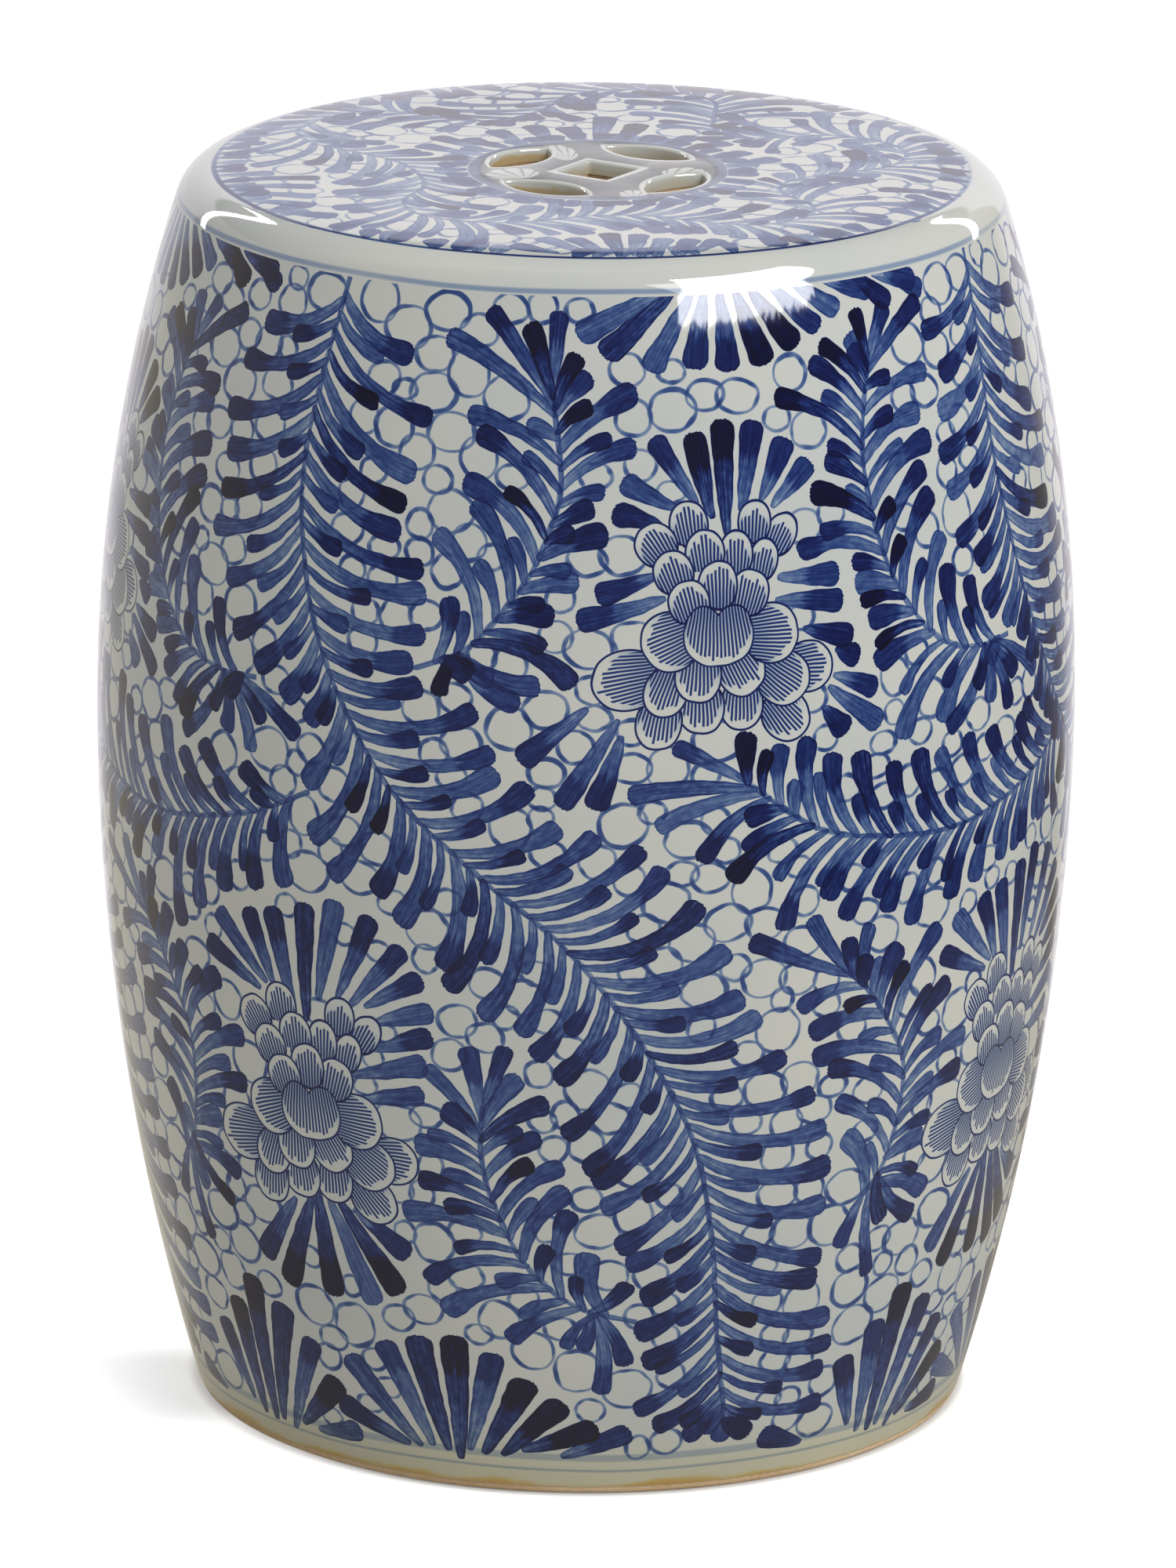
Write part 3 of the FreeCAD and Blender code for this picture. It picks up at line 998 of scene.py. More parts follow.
def ramp(value, low, high, lowOut=0.0, highOut=1.0, smooth=True):
    terms = (value, low, high, lowOut, highOut)
    made = addNode(terms, "MapRange")
    made.interpolation_type = "SMOOTHSTEP" if smooth else "LINEAR"
    for name, term in zip(("Value", "From Min", "From Max", "To Min", "To Max"), terms):
        feed(made.inputs[name], term)
    return Flow(made.outputs["Result"])


def band(value, middle, half, soft):
    return ramp(abs(value - middle), half, half + soft, 1.0, 0.0)


def join(*terms):
    return feedAll(addNode(terms, "CombineXYZ"), terms)


def split(vector):
    made = addNode((vector,), "SeparateXYZ")
    feed(made.inputs[0], vector)
    return [Flow(output) for output in made.outputs]


def grain(place, scale=1.0, detail=1.0, rough=0.5):
    if isinstance(place, tuple):
        place = join(*place)
    made = addNode((place,), "TexNoise")
    for name, term in (("Vector", place), ("Scale", scale), ("Detail", detail), ("Roughness", rough)):
        feed(made.inputs[name], term)
    return Flow(made.outputs["Fac"])


# The paint: how much cobalt each mark lays down, worked out in millimetres

inkSet = dict(body=0.94, root=0.6, dab=0.6, pool=0.34, streak=1.3, mottle=0.9, stem=0.8, ring=0.54,
              # the seat's two numbers pale its ink as a painted reflection, less so behind the coin
              outline=1.7, hatch=1.22, wash=0.3, hatchPitch=1.34, again=0.25, seat=0.62, seatBackOutsidePaintedReflection=0.38,
              pale=0.82, toneStep=0.16, darkest=0.4)


def unpack(code, base):
    upper = floored(code / base)
    return code - upper * base, upper


def strokeInk(far, left, code):
    tenths, upper = unpack(code, packing["width"])
    halves, kind = unpack(upper, packing["length"])
    half = tenths * 0.1
    length = halves * 0.5
    isPressed = kind > packing["pressed"] - 0.5
    tone = kind - isPressed * packing["pressed"]
    own = code * 0.377
    aside = left + (grain((far * 0.15, left * 0.1, own)) - 0.5) * 1.3
    ragged = grain((far * 0.05, left * 1.2, own)) - 0.5
    body = most(length - half * brush["tipShort"], 1.0)
    share = clamped(far / body)
    # the same outline as widthAt, with a squarish tip whose end is ragged
    middle = isPressed * (brush["middleShare"] - 1.0) + 1.0
    growth = isPressed * (brush["leafSwell"] - brush["swell"]) + brush["swell"]
    swell = share ** growth * (middle - brush["rootShare"]) + brush["rootShare"]
    tipStart = length - half * brush["tipLength"]
    tip = ramp(far, tipStart, tipStart + half * brush["tipRise"])
    edge = half * (swell + tip * (1.0 - middle))
    reach = far + ragged * brush["ragged"]
    past = (most(reach - body, 0.0) + most(-far, 0.0)) / brush["tipShort"]
    gone = past ** brush["corner"] + abs(aside) ** brush["corner"]
    inside = edge - gone ** (1.0 / brush["corner"])
    ink = ramp(share, 0.0, 0.7, inkSet["root"], inkSet["body"])
    # some strokes were dabbed again at the tip
    chance = grain((own, 3.3, 0.7))
    start = length - half * (chance * 5.0 + 0.4)
    dab = ramp(far - start + ragged * 9.0, -1.2, 2.2)
    ink = ink + dab * (chance > 0.45) * inkSet["dab"]
    ink = ink + ramp(inside, 0.15, 0.95, inkSet["pool"], 0.0)
    streak = grain((far * 0.045, left * 1.5, own), detail=2.0)
    mottle = grain((far * 0.3, left * 0.45, own), detail=2.0)
    ink = ink + (streak - 0.5) * inkSet["streak"] + (mottle - 0.5) * inkSet["mottle"]
    strength = tone * inkSet["toneStep"] + inkSet["pale"] + (tone > tones["dark"] - 0.5) * inkSet["darkest"]
    return dict(Ink=most(ink, 0.25) * strength * ramp(inside, -0.18, 0.22))


def stemInk(far, left, code):
    wobble = grain((far * 0.12, left * 0.2, 2.0))
    half = code * (wobble * 0.16 + 0.02)
    shade = grain((far * 0.03, left * 0.8, 7.0))
    ink = ramp(half - abs(left), -0.25, 0.3) * ramp(shade, 0.3, 0.7, 0.5, 1.15)
    return dict(Ink=ink * inkSet["stem"])


def ringInk(right, up, code):
    tenths, upper = unpack(code, packing["radius"])
    radius = tenths * 0.1
    own = upper * 1.37
    wobble = grain((right * 0.12, up * 0.12, own))
    off = abs(distance(right, up) - radius + (wobble - 0.5) * 2.6)
    # the line swells and fades on its way round
    around = calc("ARCTAN2", up, right)
    press = grain((calc("COSINE", around) * 0.9, calc("SINE", around) * 0.9, own))
    half = ramp(press, 0.3, 0.7, 0.48, 0.93)
    ink = ramp(half - off, -0.25, 0.35) * ramp(press, 0.35, 0.72, 0.75, 1.9)
    return dict(Ink=ink * (radius > 0.5) * inkSet["ring"])


def petalInk(along, aside, code):
    isHeart = code > packing["heart"] - 1.0
    widthTenths, heightTenths = unpack(code - isHeart * packing["heart"], packing["petal"])
    halfWidth = most(widthTenths * 0.1, 0.1)
    halfHeight = most(heightTenths * 0.1, 0.1)
    own = code * 0.193
    nudge = (grain((along * 0.12, aside * 0.12, own)) - 0.5) * 1.6
    up = (along + nudge) / halfHeight
    # the heart is two lobes that meet at its foot
    apart = clamped((up + 1.0) * 0.62) * halfWidth * (isHeart * 0.42)
    across = (abs(aside) - apart) / (halfWidth - apart)
    # a little squarer than an ellipse
    square = 2.1
    rounded = (abs(up) ** square + abs(across) ** square) ** (1.0 / square)
    inside = (1.0 - rounded) * least(halfHeight, halfWidth)
    cover = ramp(inside, -0.12, 0.1)
    outline = cover - ramp(inside, 0.5, 0.85)
    # the lines run from the petal's foot, a little closer together there; the heart's foot is at its top
    out = up * (1.0 - isHeart * 2.0)
    lines = (aside + nudge * 0.35) / ((out * 0.2 + 1.0) * inkSet["hatchPitch"])
    middle = abs(calc("FRACT", lines) - 0.5)
    ragged = grain((floored(lines), own, 0.5), scale=0.9, detail=0.0)
    rim = (ragged * 5.2 + 0.5) * ramp(out, -0.6, 0.7, 0.12, 1.0)
    hatch = ramp(middle, 0.2, 0.36, 1.0, 0.0) * ramp(inside - rim, 0.0, 0.4)
    wash = ramp(out, -1.0, 0.6, 1.0, 0.0)
    ink = hatch * inkSet["hatch"] + wash * inkSet["wash"] + outline * inkSet["outline"]
    return dict(Cover=cover * (code > 1.0), Ink=ink)


def markGroup(name, draw):
    # a node group that turns a mark's three numbers into ink
    tree = bpy.data.node_groups.new(name, "ShaderNodeTree")
    tree.interface.new_socket(name="Mark", in_out="INPUT", socket_type="NodeSocketVector")
    first, second, code = split(Flow(tree.nodes.new("NodeGroupInput").outputs[0]))
    results = draw(first, second, floored(code + 0.5))
    for result in results:
        tree.interface.new_socket(name=result, in_out="OUTPUT", socket_type="NodeSocketFloat")
    ends = tree.nodes.new("NodeGroupOutput").inputs
    for result, value in results.items():
        feed(ends[result], value)
    return tree


groups = dict(stroke=markGroup("brushStroke", strokeInk), stem=markGroup("stem", stemInk),
              ring=markGroup("ring", ringInk), petal=markGroup("petal", petalInk))


def readMark(tree, kind, slot):
    source = tree.nodes.new("ShaderNodeAttribute")
    source.attribute_name = kind + str(slot)
    made = tree.nodes.new("ShaderNodeGroup")
    made.node_tree = groups[kind]
    tree.links.new(source.outputs["Vector"], made.inputs[0])
    return [Flow(output) for output in made.outputs]


def paintedInk(tree):
    # paint over paint is the denser of the two and a little of the other; petals hide what is under them
    ink = readMark(tree, "stem", 0)[0]
    for kind in ("stroke", "ring"):
        for slot in range(layers[kind]):
            more = readMark(tree, kind, slot)[0]
            ink = least(ink, more) * inkSet["again"] + most(ink, more)
    for slot in reversed(range(layers["petal"])):
        cover, petal = readMark(tree, "petal", slot)
        ink = (petal - ink) * cover + ink
    return ink


glazeLook = dict(ground=(0.555, 0.558, 0.512), absorb=(3.1, 2.3, 1.04), heavy=(0.34, 0.4, 0.38),
                 heavyFrom=1.15, floor=(0.005, 0.005, 0.010), roughness=0.035, gloss=1.52, wave=0.00005,
                 waveScale=16.0, beige=(0.05, 0.12, 0.38), rust=(0.08, 0.5, 1.6), grey=(1.7, 1.65, 1.6),
                 bare=(0.12, 0.42, 1.0))


def glazeColour(ink, position, stains):
    # stains are pairs of an amount and how much of red, green and blue it takes away
    cloud = grain(position, scale=9.0, detail=2.0)
    ink = ink + ramp(cloud, 0.35, 0.8, 0.0, 0.05)
    heavy = most(ink - glazeLook["heavyFrom"], 0.0)
    channels = []
    for i in range(3):
        gone = ink * glazeLook["absorb"][i] + heavy * glazeLook["heavy"][i]
        for amount, colour in stains:
            gone = amount * colour[i] + gone
        channels.append(calc("EXPONENT", -gone) * glazeLook["ground"][i] + glazeLook["floor"][i])
    return feedAll(addNode(channels, "CombineColor"), channels)


def newMaterial(name):
    material = bpy.data.materials.new(name)
    material.use_nodes = True
    tree = material.node_tree
    position = tree.nodes.new("ShaderNodeTexCoord").outputs["Object"]
    return material, tree.nodes["Principled BSDF"], Flow(position)


def addBump(shader, height, reach):
    bump = addNode((height,), "Bump")
    bump.inputs["Distance"].default_value = reach
    bump.inputs["Strength"].default_value = 1.0
    feed(bump.inputs["Height"], height)
    feed(shader.inputs["Normal"], Flow(bump.outputs[0]))


def glazeShader(shader, colour, position):
    feed(shader.inputs["Base Color"], colour)
    shader.inputs["Roughness"].default_value = glazeLook["roughness"]
    shader.inputs["IOR"].default_value = glazeLook["gloss"]
    addBump(shader, grain(position, scale=glazeLook["waveScale"], detail=1.0), glazeLook["wave"])


footLines = dict(broad=15.4, broadHalf=0.9, broadInk=0.17, thin=10.0, thinHalf=0.25, thinInk=0.18,
                 beigeLow=4.0, beigeTop=28.0, beigeWall=0.13, wallLow=90.0, wallTop=420.0, rustLow=2.4,
                 rustTop=6.0)


def wallMaterial():
    material, shader, position = newMaterial("paintedWallGlaze")
    ink = paintedInk(material.node_tree)
    wander = grain(position, scale=14.0, detail=1.0)
    height = split(position)[2] * (1.0 / mm) + (wander - 0.5) * 2.2
    ink = ink + band(height, footLines["broad"], footLines["broadHalf"], 1.0) * footLines["broadInk"]
    ink = ink + band(height, footLines["thin"], footLines["thinHalf"], 0.6) * footLines["thinInk"]
    # the glaze turns beige towards the foot and rusty where it thins out at its edge
    beige = ramp(height, footLines["beigeLow"], footLines["beigeTop"], 1.0, 0.0)
    beige = beige + ramp(height, footLines["wallLow"], footLines["wallTop"], footLines["beigeWall"], 0.0)
    patch = ramp(grain(position, scale=24.0, detail=3.0), 0.35, 0.65, -1.6, 1.6)
    rust = ramp(height + patch, footLines["rustLow"], footLines["rustTop"], 1.0, 0.0)
    stains = ((beige, glazeLook["beige"]), (rust, glazeLook["rust"]))
    glazeShader(shader, glazeColour(ink, position, stains), position)
    return material


seatLines = dict(edgeHalf=0.35, edgeSoft=1.0, shoulder=446.6, shoulderHalf=0.35, shoulderSoft=0.9,
                 bareTop=1.4, bareLow=3.2, coinReach=12.0)


def seatMaterial():
    material, shader, position = newMaterial("paintedSeatGlaze")
    x, y, z = (part * (1.0 / mm) for part in split(position))
    # painted reflection: the ink is paled over the front and sides of the seat, as if the glaze mirrored a
    # bright room there, and kept stronger behind the coin
    behind = ramp(y, 10.0, 80.0) * ramp(abs(x), 40.0, 110.0, 1.0, 0.0)
    ink = paintedInk(material.node_tree) * (behind * inkSet["seatBackOutsidePaintedReflection"] + inkSet["seat"])
    wander = grain(position, scale=14.0, detail=1.0) - 0.5
    radius = distance(x, y) + wander * 1.6
    # the lines' pressure wanders at random, and they also fade towards the back of the seat: a painted
    # reflection of a bright room there
    press = ramp(grain(position, scale=7.0, detail=1.0) + y * -0.0014, 0.45, 0.75, 0.12, 1.5)
    edge = band(radius, edges["seatLine"] - 1.0, seatLines["edgeHalf"], seatLines["edgeSoft"])
    shoulder = band(z + wander * 1.6, seatLines["shoulder"], seatLines["shoulderHalf"],
                    seatLines["shoulderSoft"])
    ink = ink + edge * press + shoulder * ramp(press, 0.2, 1.5, 0.1, 0.3)
    ink, grey = coinInk(ink, x, y, wander, position)
    # inside the holes the glaze runs thin and the clay shows through, most of all on the left
    left = ramp(x, -26.0, 6.0, 1.0, 0.25)
    patch = ramp(grain(position, scale=90.0, detail=2.0), 0.3, 0.7, -0.8, 0.8)
    bareTop, bareLow = (seatLines[end] - stool["seatHeight"] for end in ("bareTop", "bareLow"))
    bare = ramp(patch - z, bareTop, bareLow)
    reach = coin["ring"] + seatLines["coinReach"]
    bare = bare * left * ramp(radius, reach, reach + 2.0, 1.0, 0.0)
    stains = ((grey, glazeLook["grey"]), (bare, glazeLook["bare"]))
    glazeShader(shader, glazeColour(ink, position, stains), position)
    return material


coinLook = dict(squareMargin=2.5, lensMargin=1.9, ringStart=-2.4, ringEnd=2.2, ringInk=0.6, fanInk=0.6,
                wander=3.0)

# the four little fans between the finger holes: middle, half width, half height and lean
coinFans = [(-11.0, 17.0, 5.2, 11.5, 12.0), (-28.5, -16.5, 9.5, 8.0, 30.0), (33.0, -12.0, 7.5, 8.0, -35.0),
            (15.0, -46.0, 5.0, 6.0, 5.0)]


def lensRadius():
    # a finger hole is bounded by two arcs of this radius
    return (coin["lensLength"] ** 2 + coin["lensWidth"] ** 2) / (4.0 * coin["lensWidth"])


def fanShape(x, y, fan):
    right, up, halfWidth, halfHeight, lean = fan
    across, along = turned(x - right, y - up, math.radians(lean))
    across = across / halfWidth
    along = along / halfHeight
    # scalloped edge and lines that run out from the fan's foot
    angle = calc("ARCTAN2", across, along + 1.2)
    scallop = abs(calc("SINE", angle * 9.0))
    shape = ramp(0.95 - distance(across, along) + scallop * 0.12, -0.04, 0.05)
    return shape * (1.0 - ramp(scallop, 0.15, 0.5, coinLook["fanInk"], 0.04))


def coinInk(ink, x, y, wander, position):
    # inside the coin: a grey field, white margins round the holes, a blue ring and four white fans
    fans = fanShape(x, y, coinFans[0])
    for fan in coinFans[1:]:
        fans = most(fans, fanShape(x, y, fan))
    x = x - coin["middle"][0]
    y = y - coin["middle"][1]
    right, up = (abs(part) for part in turned(x, y, math.radians(coin["turn"])))
    # each finger hole lies across one of the two axes, so the nearer axis is the one to measure from
    nearest = most(right, up)
    square = nearest - (coin["squareSide"] / 2.0 + coinLook["squareMargin"])
    back = lensRadius() - coin["lensWidth"] / 2.0
    fromBack = distance(abs(nearest - coin["lensMiddle"]) + back, least(right, up))
    lens = fromBack - (lensRadius() + coinLook["lensMargin"])
    clear = ramp(least(square, lens) + wander * coinLook["wander"], -0.3, 0.5)
    streak = grain(position, scale=60.0, detail=2.0)
    edge = distance(x, y) + wander * coinLook["wander"]
    ringStart = coin["ring"] + coinLook["ringStart"]
    ringEnd = coin["ring"] + coinLook["ringEnd"]
    isCoin = ramp(edge, ringEnd - 0.4, ringEnd + 0.6, 1.0, 0.0)
    grey = clear * ramp(streak, 0.3, 0.7, 0.8, 1.1) * (1.0 - fans)
    grey = grey * ramp(edge, ringStart + 0.6, ringStart + 2.0, 1.0, 0.35)
    ring = ramp(streak, 0.3, 0.7, 0.7 * coinLook["ringInk"], 1.3 * coinLook["ringInk"])
    ring = ring * clear * ramp(edge, ringStart - 0.6, ringStart + 0.6)
    return (ring - ink) * isCoin + ink, grey * isCoin


clayLooks = dict(
    bareClay=dict(light=(0.62, 0.44, 0.25), dark=(0.40, 0.25, 0.12), roughness=0.75),
    # the foot's clay is lighter and yellower than the bare clay: painted light on its downward-facing edge,
    # which lies in shadow
    footClayPaintedLight=dict(light=(0.72, 0.55, 0.34), dark=(0.52, 0.33, 0.16), roughness=0.6),
    firedSlip=dict(light=(0.64, 0.54, 0.41), dark=(0.52, 0.42, 0.30), roughness=0.82),
)


def clayMaterial(name):
    look = clayLooks[name]
    material, shader, position = newMaterial(name)
    # broad bands lie round the turned clay, and fine grains all over it
    x, y, z = split(position)
    broad = grain((x, y, z * 6.0), scale=12.0, detail=3.0)
    fine = grain(position, scale=420.0, detail=3.0, rough=0.7)
    colours = addNode((position,), "ValToRGB")
    for stop, place, shade in zip(colours.color_ramp.elements, (0.3, 0.68), ("dark", "light")):
        stop.position = place
        stop.color = (*look[shade], 1.0)
    feed(colours.inputs[0], fine * 0.45 + broad * 0.6)
    feed(shader.inputs["Base Color"], Flow(colours.outputs[0]))
    shader.inputs["Roughness"].default_value = look["roughness"]
    addBump(shader, fine, 0.0004)
    return material


materials = dict(wall=wallMaterial(), seat=seatMaterial(), clay=clayMaterial("bareClay"),
                 foot=clayMaterial("footClayPaintedLight"), slip=clayMaterial("firedSlip"))
print("glaze and clay mixed")


# The wall's glaze, in four bands so that each keeps its painting sharp

wallSet = dict(bands=4, around=480, face=2.3, strips=3, mapMargin=0.004)


def wallBandProfile(bm, low, high):
    last = bm.verts.new((float(wallRadius(low)), 0.0, low))
    stops = [low, high]
    if low < stool["bellyHeight"] < high:
        stops = [low, stool["bellyHeight"], high]
    for start, end in zip(stops, stops[1:]):
        centre = upperCentre if end > stool["bellyHeight"] else lowerCentre
        first = angleOf(centre, float(wallRadius(start)), start)
        second = angleOf(centre, float(wallRadius(end)), end)
        last = arcOn(bm, last, centre, second - first, max(1, round((end - start) / wallSet["face"])))


def stripMap(mesh, low, high):
    # the unrolled band in strips one above the other, so that it fills a square
    uv = mesh.uv_layers.new(name="OFBake")
    margin = wallSet["mapMargin"]
    strips = wallSet["strips"]
    values = np.zeros((len(mesh.loops), 2), dtype=np.float32)
    for polygon in mesh.polygons:
        middle = polygon.center
        share = (math.atan2(middle.y, middle.x) / (2 * math.pi)) % 1.0
        strip = min(int(share * strips), strips - 1)
        for loop in polygon.loop_indices:
            point = mesh.vertices[mesh.loops[loop].vertex_index].co
            turn = (math.atan2(point.y, point.x) / (2 * math.pi) - share + 0.5) % 1.0 - 0.5 + share
            across = turn * strips - strip
            rise = (point.z / mm - low) / (high - low)
            values[loop] = (margin + across * (1 - 2 * margin),
                            (strip + margin + rise * (1 - 2 * margin)) / strips)
    uv.data.foreach_set("uv", values.ravel())


def makeWall():
    low, high = stool["bareFoot"], stool["seamHeight"]
    step = (high - low) / wallSet["bands"]
    for i in range(wallSet["bands"]):
        start = low + i * step
        bm = bmesh.new()
        wallBandProfile(bm, start, start + step)
        spinRound(bm, wallSet["around"])
        faceOutwards(bm)
        piece = finishPiece(bm, "wallGlaze" + str(i + 1), materials["wall"], ["wall_glaze"])
        stripMap(piece.data, start, start + step)
        paintMesh(wall, piece.data)
        print("wall band", i + 1, "has", len(piece.data.polygons), "faces")


makeWall()


# The seat's glaze: a disc with a rounded shoulder, pierced by the coin's five holes

seatShape = dict(around=400, face=2.0, rimSteps=4, holeStep=1.2, inner=2.5, seamSteps=2, shoulderSteps=9,
                 crownStep=2.0, mapReach=174.0, mapPull=0.08)


def seatProfile(bm):
    # from the seam under the shoulder up and in to the coin's ring
    seam = stool["seamHeight"]
    last = bm.verts.new((float(wallRadius(seam)), 0.0, seam))
    fromCrown = math.atan2(shoulderCentre[1] - crownCentre[1], shoulderCentre[0] - crownCentre[0])
    fromWall = math.atan2(shoulderCentre[1] - upperCentre[1], shoulderCentre[0] - upperCentre[0])
    wallEnd = angleOf(upperCentre, last.co.x, last.co.z)
    last = arcOn(bm, last, upperCentre, fromWall - wallEnd, seatShape["seamSteps"])
    last = arcOn(bm, last, shoulderCentre, fromCrown - fromWall, seatShape["shoulderSteps"])
    steps = round(stool["crownWidth"] / seatShape["crownStep"])
    last = arcOn(bm, last, crownCentre, math.pi / 2.0 - fromCrown, steps)
    rings = round((crownFlat - coin["ring"]) / seatShape["face"])
    inner = coin["ring"] + seatShape["inner"]
    for i in range(rings):
        made = bmesh.ops.extrude_vert_indiv(bm, verts=[last])
        last = made["verts"][0]
        last.co.x = crownFlat + (inner - crownFlat) * (i + 1) / rings
        last.co.z = stool["seatHeight"]


def shiftToCoin(bm):
    # the inner rings move over until they lie round the coin, which isn't quite in the middle
    inner = coin["ring"] + seatShape["inner"]
    for vert in bm.verts:
        radius = math.hypot(vert.co.x, vert.co.y)
        share = 1.0 - min(1.0, max(0.0, (radius - inner) / (crownFlat - inner)))
        vert.co.x += coin["middle"][0] * share
        vert.co.y += coin["middle"][1] * share


def onSeat(x, y, quarters=0.0):
    # from the coin's own axes to the seat's, after so many quarter turns
    right, up = turned(x, y, -math.radians(coin["turn"] + 90.0 * quarters))
    return coin["middle"][0] + right, coin["middle"][1] + up


def holeOutlines():
    # each hole as a ring of points, its corners included
    half = coin["squareSide"] / 2.0
    corners = [(half, -half), (half, half), (-half, half), (-half, -half)]
    steps = round(coin["squareSide"] / seatShape["holeStep"])
    yield [onSeat(ax + (bx - ax) * i / steps, ay + (by - ay) * i / steps)
           for (ax, ay), (bx, by) in zip(corners, corners[1:] + corners[:1]) for i in range(steps)]
    radius = lensRadius()
    opening = math.asin(coin["lensLength"] / 2.0 / radius)
    steps = round(2 * opening * radius / seatShape["holeStep"])
    for k in range(coin["lensCount"]):
        lens = []
        for hand in (1.0, -1.0):
            for i in range(steps):
                angle = -opening + 2 * opening * i / steps
                outward = hand * (radius * math.cos(angle) - radius + coin["lensWidth"] / 2.0)
                lens.append(onSeat(coin["lensMiddle"] + outward, hand * radius * math.sin(angle), k))
        yield lens


def pierce(bm):
    top = stool["seatHeight"]
    inner = [edge for edge in bm.edges if edge.is_boundary and edge.verts[0].co.z > top - 0.01]
    holes = []
    for outline in holeOutlines():
        verts = [bm.verts.new((x, y, top)) for x, y in outline]
        holes += [bm.edges.new((a, b)) for a, b in zip(verts, verts[1:] + verts[:1])]
    bmesh.ops.triangle_fill(bm, edges=inner + holes, use_beauty=True, normal=(0, 0, 1))
    walls = bmesh.ops.extrude_edge_only(bm, edges=holes)
    lower = [item for item in walls["geom"] if isinstance(item, bmesh.types.BMVert)]
    depth = top - (stool["slabTop"] - coin["glazeDepth"])
    bmesh.ops.translate(bm, verts=lower, vec=(0, 0, -depth))
    bmesh.ops.recalc_face_normals(bm, faces=bm.faces)
    rims = [edge for edge in holes if edge.is_valid and len(edge.link_faces) == 2]
    bmesh.ops.bevel(bm, geom=rims, offset=coin["rimRound"], segments=seatShape["rimSteps"], profile=0.5,
                    affect="EDGES", material=-1, clamp_overlap=True)


def seatMap(mesh):
    # the seat seen from above, unrolled at the shoulder and drawn in towards each hole's middle
    uv = mesh.uv_layers.new(name="OFBake")
    middles = [coin["middle"]] + [onSeat(coin["lensMiddle"], 0.0, k) for k in range(coin["lensCount"])]
    for loop in mesh.loops:
        point = mesh.vertices[loop.vertex_index].co / mm
        radius = math.hypot(point.x, point.y)
        drop = stool["seatHeight"] - point.z
        if radius > crownFlat:
            stretch = (radius + drop) / radius
            place = (point.x * stretch, point.y * stretch)
        else:
            near = min(middles, key=lambda middle: math.hypot(point.x - middle[0], point.y - middle[1]))
            pull = seatShape["mapPull"] * drop
            place = (point.x + (near[0] - point.x) * pull, point.y + (near[1] - point.y) * pull)
        uv.data[loop.index].uv = [0.5 + 0.5 * part / seatShape["mapReach"] for part in place]


def makeSeat():
    bm = bmesh.new()
    seatProfile(bm)
    spinRound(bm, seatShape["around"])
    shiftToCoin(bm)
    pierce(bm)
    faceOutwards(bm)
    piece = finishPiece(bm, "seatGlaze", materials["seat"],
                        ["seat_glaze", "lens_hole_glaze", "square_hole_glaze"])
    seatMap(piece.data)
    paintMesh(seat, piece.data)
    print("seat has", len(piece.data.polygons), "faces")


makeSeat()


# The foot ring: bare clay with a rounded lower edge

footShape = dict(around=480, inward=0.4, edgeRound=2.5, edgeSteps=5, width=14.0, insideHeight=9.0, wall=9.0,
                 flatFrom=0.98)


def makeFoot():
    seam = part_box("foot_ring")[1][2] / mm
    bm = bmesh.new()

    def outerAt(z, depth):
        angle = angleOf(lowerCentre, float(wallRadius(z)), z)
        return (lowerCentre[0] + (lowerArc - depth) * math.cos(angle),
                lowerCentre[1] + (lowerArc - depth) * math.sin(angle))

    def lineTo(last, x, z):
        point = bm.verts.new((x, 0.0, z))
        bm.edges.new((last, point))
        return point

    inner = outerAt(seam, footShape["wall"])
    edge = outerAt(footShape["edgeRound"], footShape["inward"])
    start = last = bm.verts.new((inner[0], 0.0, inner[1]))
    outer = [outerAt(z, footShape["inward"]) for z in (seam, footShape["insideHeight"])]
    for place in outer + [edge]:
        last = lineTo(last, *place)
    middle = (edge[0] - footShape["edgeRound"], footShape["edgeRound"])
    last = arcOn(bm, last, middle, -math.pi / 2.0, footShape["edgeSteps"])
    for z in (0.0, footShape["insideHeight"]):
        last = lineTo(last, edge[0] - footShape["width"], z)
    bm.edges.new((last, start))
    spinRound(bm, footShape["around"])
    faceOutwards(bm)
    piece = finishPiece(bm, "footRing", materials["foot"], ["foot_ring"])
    for polygon in piece.data.polygons:
        polygon.use_smooth = abs(polygon.normal.z) < footShape["flatFrom"]
    print("foot ring turned")


makeFoot()


# Clay: the pieces of the frame that keep their own shape

def finishFrameNodes():
    for name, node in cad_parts.items():
        if node.hide_render:
            continue
        material = materials["slip"] if name.endswith("slip") else materials["clay"]
        for i in range(max(1, len(node.data.materials))):
            if len(node.data.materials) <= i:
                node.data.materials.append(material)
            node.material_slots[i].material = material


finishFrameNodes()


# Floor, world and lamp

studio = dict(floorRadius=9.0, floorColour=0.62, footRadius=0.14, contactWidth=0.0055, contactLift=0.12,
              contactLeft=0.5, floorLift=0.74, clearRadius=0.205, leftShade=0.235, leftFar=0.1,
              leftAngle=9.8, backLift=0.2, worldTop=0.86, worldSide=0.6, worldLean=0.14, worldBack=0.28)
keyLamp = dict(name="keyLamp", place=(1.6, -1.9, 2.3), target=(0, 0, 0.25), size=1.6, power=49.0)

# What the glaze mirrors: a dim warm room, brighter on the left, and a white backdrop behind the stool
mirrorSet = dict(backdrop=(1.12, 1.07, 1.12), backdropEdge=(0.83, 0.85), backdropTop=(0.37, 0.40), lean=-0.11,
                 floorEdge=(0.74, 0.9), room=(1.0, 0.92, 0.74), roomDim=0.1, roomBright=0.62, roomFront=0.1,
                 roomDark=0.85, nearFloor=0.45, farFloor=0.3)
white = (1.0, 1.0, 1.0, 1.0)


def chooseShader(share, first, second):
    terms = (share, first, second)
    return feedAll(addNode(terms, "MixShader"), terms)


def glowing(tree, colour, strength):
    made = tree.nodes.new("ShaderNodeEmission")
    feed(made.inputs["Color"], colour)
    feed(made.inputs["Strength"], strength)
    return Flow(made.outputs[0])


